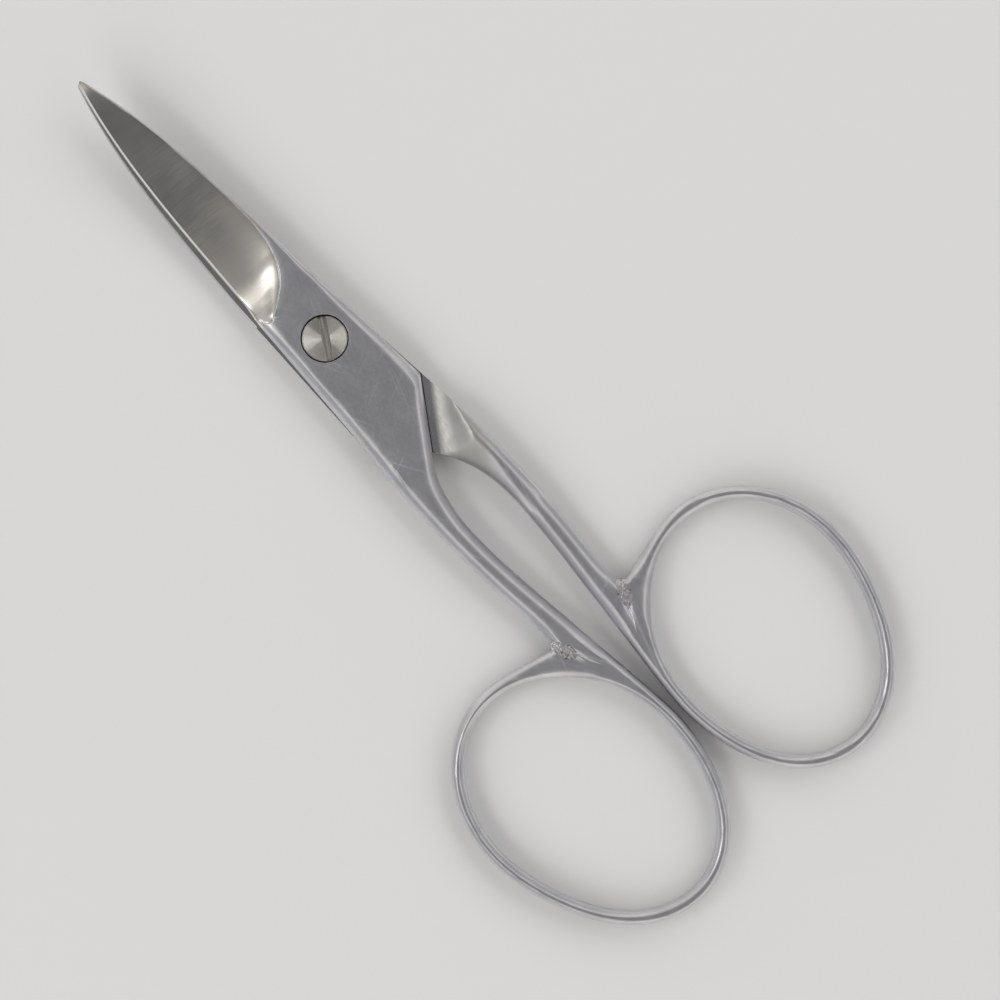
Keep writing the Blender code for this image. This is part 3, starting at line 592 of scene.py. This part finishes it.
    def _relax(self, skin: Object) -> None:
        """Crown the broad sides: heights spread as heat does, and leave the outline as it is in plan.

        Args:
            skin: The subdivided skin.
        """
        mesh = skin.data
        places = np.empty(len(mesh.vertices) * 3)
        mesh.vertices.foreach_get("co", places)
        places = places.reshape(-1, 3)
        ends = np.empty(len(mesh.edges) * 2, dtype=np.int64)
        mesh.edges.foreach_get("vertices", ends)
        first, second = ends[0::2], ends[1::2]
        gap = np.hypot(*(places[first, :2] - places[second, :2]).T)
        pull = 1 / np.maximum(gap, self.least_gap)
        count = len(places)
        total = np.bincount(first, pull, count) + np.bincount(second, pull, count)
        degree = np.bincount(first, minlength=count) + np.bincount(second, minlength=count)
        spread = np.array([self._spread(self._blank(vertex.co), vertex.normal) for vertex in mesh.vertices])
        share = np.minimum(1.0, spread ** 2 / (2 * self.relax_passes) / (degree / total ** 2))
        height = places[:, 2].copy()
        for _ in range(self.relax_passes):
            around = np.bincount(first, pull * height[second], count) + np.bincount(second, pull * height[first], count)
            height += share * (around / total - height)
        places[:, 2] = height
        mesh.vertices.foreach_set("co", places.ravel())
        mesh.update()

    def _spread(self, spot: Vector, normal: Vector) -> float:
        """Say how far the height of a vertex spreads.

        Args:
            spot: Its place on the blank.
            normal: Its normal.

        Returns:
            The spread in metres, 0 where the shape is kept.
        """
        ramp = (self.ramp_behind[0] < self._behind_shoulder(spot) < self.ramp_behind[1]
                and self.ramp_x[0] < spot.x < self.ramp_x[1] and spot.z < self.joint_top)
        if math.hypot(spot.x, spot.y) < self.rim_keep or self.joint_low < spot.z < self.joint_top and not ramp:
            return 0.0
        level = smooth_step(abs(normal.z), *self.wall_fade)
        if spot.x > self.heel_fade[0]:
            front = smooth_step(spot.x, *self.heel_fade)
            spread = self.crown + (self.plunge_blend - self.crown) * front
            held = 1 - front + front * smooth_step(spot.z, *self.heel_height_fade)
            return spread * level * held * (1 - smooth_step(spot.x, *self.leaf_fade))
        away = spot.xy - Vector(self.seat_centre)
        along, across = Vector(self.seat_long), Vector(self.seat_wide)
        seat = math.hypot(away.dot(along) / along.length_squared, away.dot(across) / across.length_squared)
        if seat < self.seat_keep or ramp and spot.z > self.ramp_foot:
            return 0.0
        if away.length < self.valley_radius:
            return self.valley_blend * level
        share = smooth_step(spot.x, *self.bow_fade)
        return (self.bow_crown + (self.crown - self.bow_crown) * share) * level

    def _blank(self, point: Vector) -> Vector:
        """Bring a point back to the flat blank, with its bow at +Y and its joint face down.

        Args:
            point: A point of the half, as it lies.

        Returns:
            The same point on the blank.
        """
        beyond = math.hypot(point.x, point.y) - self.curve_start
        rise = 0.0
        if point.x > 0 and beyond > 0:
            rise = self.curve_radius - math.sqrt(self.curve_radius ** 2 - beyond ** 2)
        if self.turned_over:
            return Vector((point.x, -point.y, self.thickness - (point.z - rise)))
        return Vector((point.x, point.y, point.z - rise))

    def _shoulder_line(self) -> tuple[Vector, Vector]:
        """Start of the other half's shoulder line on the blank, and the way to its end."""
        corner = Vector((-self.shoulder, self.shoulder_reach))
        return corner, Vector((-self.elbow, -self.elbow_reach)) - corner

    def _behind_shoulder(self, spot: Vector) -> float:
        """Distance of a place on the blank behind the other half's shoulder line, negative in front of it."""
        corner, along = self._shoulder_line()
        return (spot.xy - corner).dot(Vector((along.y, -along.x)).normalized())

    def _ramp_height(self, spot: Vector) -> float:
        """Height of the unblended ramp: level, then a fillet, then a slope.

        Args:
            spot: A point of the blank.

        Returns:
            The height on the blank.
        """
        corner, along = self._shoulder_line()
        share = min(max((spot.xy - corner).dot(along) / along.length_squared, 0.0), 1.0)
        fillet, steepest = (low + (high - low) * share for low, high in (self.ramp_fillets, self.ramp_angles))
        start = self.ramp_start_angle
        reach = max(self._behind_shoulder(spot) - self.ramp_start, 0.0)
        turn = math.asin(min(math.sin(start) + reach / fillet, math.sin(steepest)))
        past = max(reach - fillet * (math.sin(turn) - math.sin(start)), 0.0)
        return self.joint_face - fillet * (math.cos(start) - math.cos(turn)) - past * math.tan(turn)

    def _feel(self, skin: Object, grid: tuple[np.ndarray, np.ndarray],
              upwards: bool) -> list[tuple[Vector, Vector]]:
        """Feel the skin on a grid, with rays along Z on the blank.

        Args:
            skin: The skin to feel.
            grid: The places along X and along Y.
            upwards: True to feel the joint side, False for the other side.

        Returns:
            The place and the normal where each ray hit.
        """
        tree = BVHTree.FromPolygons([self._blank(vertex.co) for vertex in skin.data.vertices],
                                    [list(face.vertices) for face in skin.data.polygons])
        start, way = (-MM, 1) if upwards else (2 * self.thickness, -1)
        hits = [tree.ray_cast(Vector((x, y, start)), Vector((0, 0, way)))[:2] for x in grid[0] for y in grid[1]]
        return [(place, facing) for place, facing in hits if place is not None]

    def _ramp_samples(self, skin: Object) -> np.ndarray:
        """Feel the joint side round the ramp, with the facets of the ramp smoothed out.

        Args:
            skin: The merged copy of the CAD node.

        Returns:
            A row of x, y and height on the blank for each place where there is steel.
        """
        grid = (np.arange(self.ramp_x[0] - MM, -self.shoulder + 1.5 * MM, self.ramp_cell),
                np.arange(*self.ramp_y, self.ramp_cell))
        rows = []
        for place, _ in self._feel(skin, grid, upwards=True):
            if place.z < self.joint_top:
                ideal = self._ramp_height(place)
                rows.append((place.x, place.y, ideal if abs(place.z - ideal) < self.facet_height else place.z))
        return np.array(rows)

    def _fitted(self, samples: np.ndarray, spot: Vector, spread: float) -> float:
        """Fit a plane to the samples round a place.

        Args:
            samples: Rows of x, y and height.
            spot: The place.
            spread: Distance over which a sample's weight falls off.

        Returns:
            The plane's height there, or the place's own height where there are too few samples.
        """
        offsets = samples[:, :2] - (spot.x, spot.y)
        near = (np.abs(offsets) < 3 * spread).all(axis=1)
        if near.sum() < 12:
            return spot.z
        weight = np.exp(-(offsets[near] ** 2).sum(axis=1) / (2 * spread ** 2))
        plane = np.column_stack((np.ones(near.sum()), offsets[near] / MM))
        return float(np.linalg.solve(plane.T @ (plane * weight[:, None]), plane.T @ (weight * samples[near, 2]))[0])

    def _blend_ramp(self, skin: Object, samples: np.ndarray) -> None:
        """Lay the skin smoothly over the ramp and the steel round it, with a plane fitted round every vertex.

        Args:
            skin: The relaxed skin.
            samples: What _ramp_samples gave.
        """
        back, front = self.ramp_x
        for vertex in skin.data.vertices:
            spot = self._blank(vertex.co)
            facing = -vertex.normal.z * self.flip
            if spot.z > self.joint_top or facing < 0.10 or not front > spot.x > back:
                continue
            share = (smooth_step(self._behind_shoulder(spot), *self.strip_fade) * smooth_step(facing, 0.10, 0.50)
                     * smooth_step(spot.x, back, back + self.ramp_run_out))
            if share:
                vertex.co.z += share * (self._fitted(samples, spot, self.ramp_blend) - spot.z) * self.flip
        skin.data.update()

    def _calm_corner(self, skin: Object) -> None:
        """Smooth the small ripples where the plunge runs out at the cutting edge.

        Args:
            skin: The relaxed skin.
        """
        centre = Vector(self.plunge[self.corner_point]) * MM
        reach, above = self.corner_reach
        grid = (np.arange(centre.x - reach, centre.x + reach, self.corner_cell),
                np.arange(centre.y - reach, centre.y + above, self.corner_cell))
        samples = np.array([
            tuple(place) for place, facing in self._feel(skin, grid, upwards=False) if abs(facing.z) > 0.3])
        for vertex in skin.data.vertices:
            spot = self._blank(vertex.co)
            away = (spot.xy - centre).length
            if spot.z < self.joint_top or away > self.corner_fade[1]:
                continue
            share = smooth_step(vertex.normal.z * self.flip, 0.30, 0.60) * (1 - smooth_step(away, *self.corner_fade))
            vertex.co.z += share * (self._fitted(samples, spot, self.corner_blend) - spot.z) * self.flip
        skin.data.update()

    def _past_plunge(self, spot: Vector) -> float:
        """Distance of a place inside the ground face, in plan.

        Args:
            spot: A point of the blank.

        Returns:
            The distance in millimetres, negative outside the face.
        """
        here = Vector((spot.x / MM, spot.y / MM))
        if here.x < 2.0:
            return -5.0
        best, sign = 1e9, -1.0
        for start, end in zip(self.plunge, self.plunge[1:]):
            first, along = Vector(start), Vector(end) - Vector(start)
            share = min(max((here - first).dot(along) / along.length_squared, 0.0), 1.0)
            gap = here - (first + along * share)
            if gap.length < best:
                best, sign = gap.length, math.copysign(1.0, along.x * gap.y - along.y * gap.x)
        return best * sign

    def _inside(self, spots: list[Vector], side: int) -> list[float]:
        """Measure how far the places on the blade are from one of its long edges, in plan.

        Args:
            spots: Points of the blank.
            side: 1 for the cutting edge, -1 for the spine.

        Returns:
            The distances in millimetres, FAR away from the blade.
        """
        outline: dict[int, Vector] = {}
        for spot in spots:
            place = round(spot.x / self.outline_cell)
            level = spot.x > 0 and abs(spot.z - self.joint_level) < 0.10 * MM
            if level and (place not in outline or spot.y * side > outline[place].y * side):
                outline[place] = spot
        line = sorted((spot.x, spot.y) for spot in outline.values())
        across, reach = [x for x, _ in line], [y for _, y in line]
        return [(float(np.interp(spot.x, across, reach)) - spot.y) * side / MM if spot.x > self.blade_start else FAR
                for spot in spots]

    def _ramp_share(self, spot: Vector, facing: Vector) -> float:
        """Share of the ramp's finish at a place.

        Args:
            spot: A point of the blank.
            facing: The normal there, turned as the blank is.

        Returns:
            The share, from 0 to 1.
        """
        behind = self._behind_shoulder(spot) / MM
        if spot.x > 0 or spot.z > 1.7 * MM or not 0 < behind < 7:
            return 0.0
        start = smooth_step(behind, *self.polish_fade)
        return start * (1 - smooth_step(behind, *self.satin_fade)) * smooth_step(-facing.z, 0.25, 0.6)

    def _region(self, face: bpy.types.MeshPolygon) -> Region:
        """Say which region of the half a face is in.

        Args:
            face: A face of the skin.

        Returns:
            The region.
        """
        spot = self._blank(face.center)
        # Counterbore wall faces take the near-black material: painted shade in the gap round the head
        if math.hypot(spot.x, spot.y) < self.bore_radius + 0.01 * MM and spot.z < self.thickness - 0.05 * MM:
            return Region.BORE
        flat = face.normal.z * self.flip < -0.8 and abs(spot.z - self.joint_level) < 0.08 * MM
        return Region.JOINT if flat and self._behind_shoulder(spot) < 0.3 * MM else Region.BODY

    def _dress(self, skin: Object, finishes: list[Material]) -> None:
        """Give every face its material, and every vertex the places of the finishes on it.

        Args:
            skin: The finished shape.
            finishes: Materials in the order of Region.
        """
        skin.data.materials.clear()
        for finish in finishes:
            skin.data.materials.append(finish)
        for face in skin.data.polygons:
            face.material_index = self._region(face).value
        spots = [self._blank(vertex.co) for vertex in skin.data.vertices]
        facings = [Vector((vertex.normal.x, vertex.normal.y * self.flip, vertex.normal.z * self.flip))
                   for vertex in skin.data.vertices]
        behind = [self._behind_shoulder(spot) / MM for spot in spots]
        joint_side = [spot.x < 0 and spot.z < self.joint_top and facing.z < -0.3
                      for spot, facing in zip(spots, facings)]
        values = {
            "ground": [self._past_plunge(spot) for spot in spots],
            "edge": self._inside(spots, 1),
            "spine": self._inside(spots, -1),
            "ramp": [self._ramp_share(spot, facing) for spot, facing in zip(spots, facings)],
            "lapped": [(1 - smooth_step(distance, *self.polish_fade)) * on for distance, on in zip(behind, joint_side)],
            "behind": [distance if on else FAR for distance, on in zip(behind, joint_side)],
        }
        for name, numbers in values.items():
            skin.data.attributes.new(name, "FLOAT", "POINT").data.foreach_set("value", numbers)


@dataclass
class WeldBead:
    """The rough weld that fills the crotch of a finger bow."""

    node: str
    body: str
    turned_over: bool
    length: float = 1.38 * MM
    width: float = 0.80 * MM
    cap_share: float = 0.5
    sink: float = 0.015 * MM
    side_sink: float = 0.02 * MM
    rim_start: float = 0.85
    rim_drop: float = 0.40 * MM
    lumps: float = 0.08 * MM
    lump_sizes: Pair = (0.42 * MM, 0.15 * MM)
    lump_shares: Pair = (0.7, 0.5)
    wander: float = 0.22
    wander_waves: float = 1.6
    lean: float = math.radians(20)
    seed: float = 0.0

    def build(self, finish: Material, skin: Object) -> Object:
        """Shape the weld from a ball, over the place of the CAD bead, level with the steel round it.

        Args:
            finish: The weld's material.
            skin: The half that it is in.

        Returns:
            The finished bead.
        """
        low, high = (Vector(corner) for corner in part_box(self.node))
        centre = (low + high) / 2
        leave_nothing_selected()
        bpy.ops.mesh.primitive_ico_sphere_add(subdivisions=6, radius=1.0)
        bead = bpy.context.object
        bead.name = f"{self.node}_bead"
        steel_round_it = BVHTree.FromPolygons(
            [vertex.co for vertex in skin.data.vertices], [list(face.vertices) for face in skin.data.polygons])
        lean = Matrix.Rotation(self.lean * (-1 if self.turned_over else 1), 2)
        for vertex in bead.data.vertices:
            vertex.co = self._place(vertex.co, centre, lean, (low.z, high.z), steel_round_it)
        pick(bead)
        bpy.ops.object.shade_smooth()
        bead.data.materials.append(finish)
        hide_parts(self.node)
        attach(bead, self.body)
        return bead

    def _place(self, ball: Vector, centre: Vector, lean: Matrix, levels: Pair,
               steel_round_it: BVHTree) -> Vector:
        """Move a vertex of the ball to its place on the weld.

        Args:
            ball: The vertex on a ball of radius 1.
            centre: Middle of the weld.
            lean: Turn of the weld in plan.
            levels: Heights of its underside and top.
            steel_round_it: The half's faces.

        Returns:
            The vertex's place.
        """
        cap = abs(ball.z) > self.cap_share
        reach = math.sqrt((1 - ball.z ** 2) / (1 - self.cap_share ** 2)) if cap else 1.0
        flat = Vector((ball.x, ball.y))
        flat = flat.normalized() * reach if flat.length > 1e-6 else Vector((0.0, 0.0))
        wander = 1.0
        if flat.length > 1e-6:
            wander += self.wander * noise.noise(Vector((*(flat.normalized() * self.wander_waves), self.seed)))
        plan = lean @ Vector((flat.x * self.length * wander, flat.y * self.width * wander))
        place = Vector((centre.x + plan.x, centre.y + plan.y, 0))
        level = levels[1] if ball.z > 0 else levels[0]
        near = steel_round_it.find_nearest(Vector((place.x, place.y, level)))[0]
        level = min(max(near.z, levels[0]), levels[1]) if near else level
        side = 1 if ball.z > 0 else -1
        seat = Vector((self.seed, -self.seed, self.seed))
        big = noise.noise(place / self.lump_sizes[0] + seat)
        small = noise.noise(place / self.lump_sizes[1] - seat)
        lumps = self.lumps * (self.lump_shares[0] * big + self.lump_shares[1] * small)
        lift = lumps - self.sink - self.rim_drop * max(reach - self.rim_start, 0)
        middle = (levels[0] + levels[1]) / 2
        if cap:
            top = level + side * lift
            place.z = min(max(top, levels[0]), levels[1])
        else:
            top = level + side * (lift - self.side_sink)
            place.z = middle + (top - middle) * abs(ball.z) / self.cap_share
        return place


@dataclass
class PivotScrew:
    """The slotted screw, turned from bar: domed head, smooth shoulder and threaded end."""

    node: str = "pivot_screw"
    body: str = "lower"
    head_radius: float = 2.05 * MM
    head_top: float = 3.0 * MM
    head_under: float = 2.13 * MM
    crown: float = 0.10 * MM
    chamfer: float = 0.12 * MM
    shoulder_radius: float = 1.3 * MM
    shoulder_end: float = 1.505 * MM
    thread_radius: float = 1.1 * MM
    thread_chamfer: float = 0.15 * MM
    slot_width: float = 0.78 * MM
    slot_depth: float = 0.42 * MM
    slot_offset: float = 0.12 * MM
    slot_angle: float = math.radians(148)
    # Where the painted bow-tie highlight lies on the head, and how it fades
    sector_highlight_angle: float = math.radians(46)
    sector_highlight_fade: Pair = (0.70, 0.90)
    edge_bevel: float = 0.03 * MM
    turned_steps: int = 96
    crown_steps: int = 8

    def build(self, finishes: list[Material]) -> Object:
        """Model the screw from a cylinder.

        Args:
            finishes: Materials of the turned body, with its painted highlight, of the milled slot, and of the head's
                rim, which is painted shade.

        Returns:
            The finished screw.
        """
        screw = self._turned()
        self._cut_slot(screw)
        apply_modifier(screw, "BEVEL", width=self.edge_bevel, segments=2, limit_method="ANGLE",
                       angle_limit=math.radians(40), harden_normals=False)
        pick(screw)
        bpy.ops.object.shade_smooth_by_angle(angle=math.radians(30), keep_sharp_edges=False)
        screw.data.materials.clear()
        for finish in finishes:
            screw.data.materials.append(finish)
        across = Matrix.Rotation(-self.slot_angle, 2)
        floor = self.head_top - self.slot_depth
        for face in screw.data.polygons:
            side = (across @ face.center.xy).y - self.slot_offset
            in_slot = abs(side) < self.slot_width / 2 + 0.01 * MM and face.center.z > floor - 0.02 * MM
            if in_slot and face.center.z < self.head_top - self.edge_bevel:
                face.material_index = 1
            # The head's rim takes the near-black material too: painted shade in the gap
            elif face.center.xy.length > self.head_radius - 0.02 * MM and face.center.z < self.head_top - self.chamfer:
                face.material_index = 2
        # Paints a highlight: the head is lighter in the two sectors along the key light's direction
        sector_highlight = screw.data.attributes.new("sector_highlight", "FLOAT", "POINT")
        bright_way = Vector((math.cos(self.sector_highlight_angle), math.sin(self.sector_highlight_angle)))
        lean = [vertex.co.xy.normalized().dot(bright_way) if vertex.co.xy.length > 0.1 * MM else self.sector_highlight_fade[0]
                for vertex in screw.data.vertices]
        sector_highlight.data.foreach_set("value", [smooth_step(abs(share), *self.sector_highlight_fade) for share in lean])
        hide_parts(self.node)
        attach(screw, self.body)
        return screw

    def _pick_cap(self, screw: Object, upwards: bool) -> None:
        """Select the face that closes one end, and stay in edit mode.

        Args:
            screw: The screw's object, in edit mode.
            upwards: True for the top end, False for the lower one.
        """
        mesh = bmesh.from_edit_mesh(screw.data)
        bpy.ops.mesh.select_all(action="DESELECT")
        ends = [face for face in mesh.faces if abs(face.normal.z) > 0.9 and (face.normal.z > 0) == upwards]
        cap = (max if upwards else min)(ends, key=lambda face: face.calc_center_median().z)
        cap.select = True
        bmesh.update_edit_mesh(screw.data)

    def _turned(self) -> Object:
        """Shape the turned body with insets and extrusions.

        Returns:
            The screw without its slot.
        """
        leave_nothing_selected()
        height = self.head_top - self.head_under - self.chamfer
        bpy.ops.mesh.primitive_cylinder_add(
            vertices=self.turned_steps, radius=self.head_radius, depth=height,
            location=(0, 0, self.head_under + height / 2))
        screw = bpy.context.object
        screw.name = "slotted_screw"
        bpy.ops.object.transform_apply(location=True, rotation=True, scale=True)
        bpy.ops.object.mode_set(mode="EDIT")
        bpy.ops.mesh.select_mode(type="FACE")
        self._pick_cap(screw, True)
        bpy.ops.mesh.inset(thickness=self.chamfer, depth=self.chamfer)
        rim = self.head_radius - self.chamfer
        for step in range(self.crown_steps - 1):
            start, end = step / self.crown_steps, (step + 1) / self.crown_steps
            rise = self.crown * ((1 - (1 - end) ** 2) - (1 - (1 - start) ** 2))
            bpy.ops.mesh.inset(thickness=rim / self.crown_steps, depth=rise)
        self._pick_cap(screw, False)
        bpy.ops.mesh.inset(thickness=self.head_radius - self.shoulder_radius, depth=0)
        bpy.ops.mesh.extrude_region_move(
            TRANSFORM_OT_translate={"value": (0, 0, self.shoulder_end - self.head_under)})
        bpy.ops.mesh.inset(thickness=self.shoulder_radius - self.thread_radius, depth=0)
        bpy.ops.mesh.extrude_region_move(
            TRANSFORM_OT_translate={"value": (0, 0, self.thread_chamfer - self.shoulder_end)})
        bpy.ops.mesh.inset(thickness=self.thread_chamfer, depth=self.thread_chamfer)
        bpy.ops.object.mode_set(mode="OBJECT")
        return screw

    def _cut_slot(self, screw: Object) -> None:
        """Cut the screwdriver slot across the head.

        Args:
            screw: The turned screw.
        """
        leave_nothing_selected()
        bpy.ops.mesh.primitive_cube_add(size=1.0)
        tool = bpy.context.object
        across = Matrix.Rotation(self.slot_angle, 4, "Z")
        tool.matrix_world = (across @ Matrix.Translation((0, self.slot_offset, self.head_top - self.slot_depth + MM))
                             @ Matrix.Diagonal((6 * MM, self.slot_width, 2 * MM, 1)))
        pick(tool)
        bpy.ops.object.transform_apply(location=True, rotation=True, scale=True)
        apply_modifier(screw, "BOOLEAN", operation="DIFFERENCE", solver="EXACT", object=tool)
        bpy.data.objects.remove(tool, do_unlink=True)


@dataclass
class Studio:
    """The pale table, the soft lights and the camera straight above."""

    floor_size: float = 3.0
    floor_colour: Triple = (0.80, 0.80, 0.80)
    camera_foot: Pair = (-21.2 * MM, -1.4 * MM)
    camera_height: float = 253.0 * MM
    camera_up: Triple = (0.7243, -0.6895, 0.0)
    camera_lens: float = 101.0
    band_turn: float = math.radians(20)
    band_stretch: float = 0.45
    sky: tuple[tuple[float, Triple], ...] = (
        (0.0, (0.22, 0.22, 0.23)), (0.36, (0.24, 0.24, 0.25)), (0.47, (0.97, 0.94, 0.88)),
        (0.58, (0.80, 0.78, 0.74)), (0.76, (0.44, 0.44, 0.45)), (1.0, (0.38, 0.38, 0.39)))

    def build(self) -> None:
        """Make everything that isn't part of the scissors."""
        self._add_floor()
        self._add_world()
        self._add_softbox("left_softbox", (-0.02, -0.50, 0.42), (0.90, 0.40), 1.3, False)
        self._add_softbox("right_softbox", (-0.02, 0.50, 0.42), (0.90, 0.40), 1.3, False)
        self._add_softbox("key_softbox", (0.28, 0.33, 0.48), (0.20, 0.15), 0.24, True)
        self._add_camera()

    def _add_floor(self) -> None:
        """Lay the table, a plain pale sheet just under the scissors."""
        leave_nothing_selected()
        bpy.ops.mesh.primitive_plane_add(size=self.floor_size, location=(0, 0, -0.02 * MM))
        floor = bpy.context.object
        floor.name = "table"
        material = bpy.data.materials.new("pale_table")
        material.use_nodes = True
        shader = material.node_tree.nodes["Principled BSDF"]
        shader.inputs["Base Color"].default_value = (*self.floor_colour, 1)
        shader.inputs["Roughness"].default_value = 0.8
        shader.inputs["Specular IOR Level"].default_value = 0.0
        floor.data.materials.append(material)

    def _add_world(self) -> None:
        """Light everything evenly from all sides, less from a long dark band straight above."""
        world = bpy.data.worlds.new("soft_room")
        world.use_nodes = True
        tree = world.node_tree
        place = turned_place(tree, "Generated", self.band_turn, (self.band_stretch, 1.0, 0.0))
        length = add_node(tree, "ShaderNodeVectorMath", {0: place}, operation="LENGTH")
        ramp = add_node(tree, "ShaderNodeValToRGB", {"Fac": length.outputs["Value"]})
        stops = ramp.color_ramp
        (start, first), *others, (end, last) = self.sky
        stops.elements[0].position, stops.elements[0].color = start, (*first, 1)
        stops.elements[1].position, stops.elements[1].color = end, (*last, 1)
        for stop, colour in others:
            stops.elements.new(stop).color = (*colour, 1)
        tree.links.new(ramp.outputs["Color"], tree.nodes["Background"].inputs["Color"])
        tree.nodes["Background"].inputs["Strength"].default_value = 1.0
        bpy.context.scene.world = world

    def _add_softbox(self, name: str, place: Triple, size: Pair,
                     power: float, mirrored: bool) -> None:
        """Hang a soft light that faces the scissors.

        Args:
            name: Name of the light.
            place: Where it hangs, in metres.
            size: Its length along the scissors and its width.
            power: Its power in watts.
            mirrored: True if the steel shows its reflection.
        """
        light = bpy.data.lights.new(name, "AREA")
        light.shape = "RECTANGLE"
        light.size, light.size_y = size
        light.energy = power
        lamp = bpy.data.objects.new(name, light)
        lamp.visible_glossy = mirrored
        back = Vector(place).normalized()
        side = Vector((1, 0, 0)) if abs(back.x) < 0.5 else Vector((0, 1, 0))
        up = back.cross(side).normalized()
        side = up.cross(back)
        lamp.matrix_world = Matrix.Translation(place) @ Matrix((side, up, back)).transposed().to_4x4()
        bpy.context.scene.collection.objects.link(lamp)

    def _add_camera(self) -> None:
        """Put the camera straight above the table."""
        camera = bpy.data.cameras.new("camera")
        camera.lens = self.camera_lens
        camera.sensor_width = 36.0
        camera.clip_start = 0.01
        item = bpy.data.objects.new("camera", camera)
        up = Vector(self.camera_up).normalized()
        back = Vector((0, 0, 1))
        side = up.cross(back)
        turn = Matrix((side, up, back)).transposed().to_4x4()
        item.matrix_world = Matrix.Translation((*self.camera_foot, self.camera_height)) @ turn
        bpy.context.scene.collection.objects.link(item)
        bpy.context.scene.camera = item


def main() -> None:
    """Build the scissors piece by piece, then the studio round them."""
    logging.basicConfig(level=logging.INFO, format="%(message)s")
    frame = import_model()
    # Painted shade: a near-black line on the joint face just behind the other half's shoulder, where the gap is in
    # shadow
    gap_shade_line = EdgeLine("behind", 0.09, place=0.02, colour=(0.10, 0.10, 0.10))
    bevel_drop = 0.020 * MM
    # The edge and spine lines are real small bevels, and their light colour is a painted highlight
    body = steel("forged_half_steel", SATIN_FINISH, (
        Overlay("ramp", RAMP_FINISH), Overlay("lapped", JOINT_FINISH),
        Overlay("ground", GROUND_FINISH, -0.08, 0.08, step=0.04 * MM)),
        (EdgeLine("edge", 0.22, bevel_drop), gap_shade_line))
    bore_shade = steel("bore_shade_steel", BORE_SHADE_FINISH)
    joint = steel("lapped_joint_steel", JOINT_FINISH, (), (EdgeLine("spine", 0.13, bevel_drop), gap_shade_line))
    finishes = [body, joint, bore_shade]
    upper = ForgedHalf("upper_half", "upper", False, UPPER_PLUNGE, 4.20 * MM, 0.80 * MM).build(frame, finishes)
    lower = ForgedHalf("lower_half", "lower", True, LOWER_PLUNGE, 4.02 * MM, 0.95 * MM).build(frame, finishes)
    weld = steel("rough_weld_steel", WELD_FINISH)
    # The head's lighter sectors are a painted bow-tie highlight, on top of the real anisotropic reflection
    head = steel("turned_screw_steel", HEAD_FINISH, (Overlay("sector_highlight", SECTOR_HIGHLIGHT_FINISH),))
    shader = head.node_tree.nodes["Principled BSDF"]
    shader.inputs["Anisotropic"].default_value = 0.92
    shader.inputs["Anisotropic Rotation"].default_value = 0.25
    pieces = [
        upper,
        lower,
        WeldBead("upper_bow_weld", "upper", False, seed=3.7).build(weld, upper),
        WeldBead("lower_bow_weld", "lower", True, seed=11.3).build(weld, lower),
        PivotScrew().build([head, steel("milled_slot_steel", SLOT_FINISH), bore_shade]),
    ]
    for piece in pieces:
        LOG.info("%s: %d faces", piece.name, len(piece.data.polygons))
    Studio().build()
    bpy.context.scene.view_settings.view_transform = "Standard"


if __name__ == "__main__":
    main()
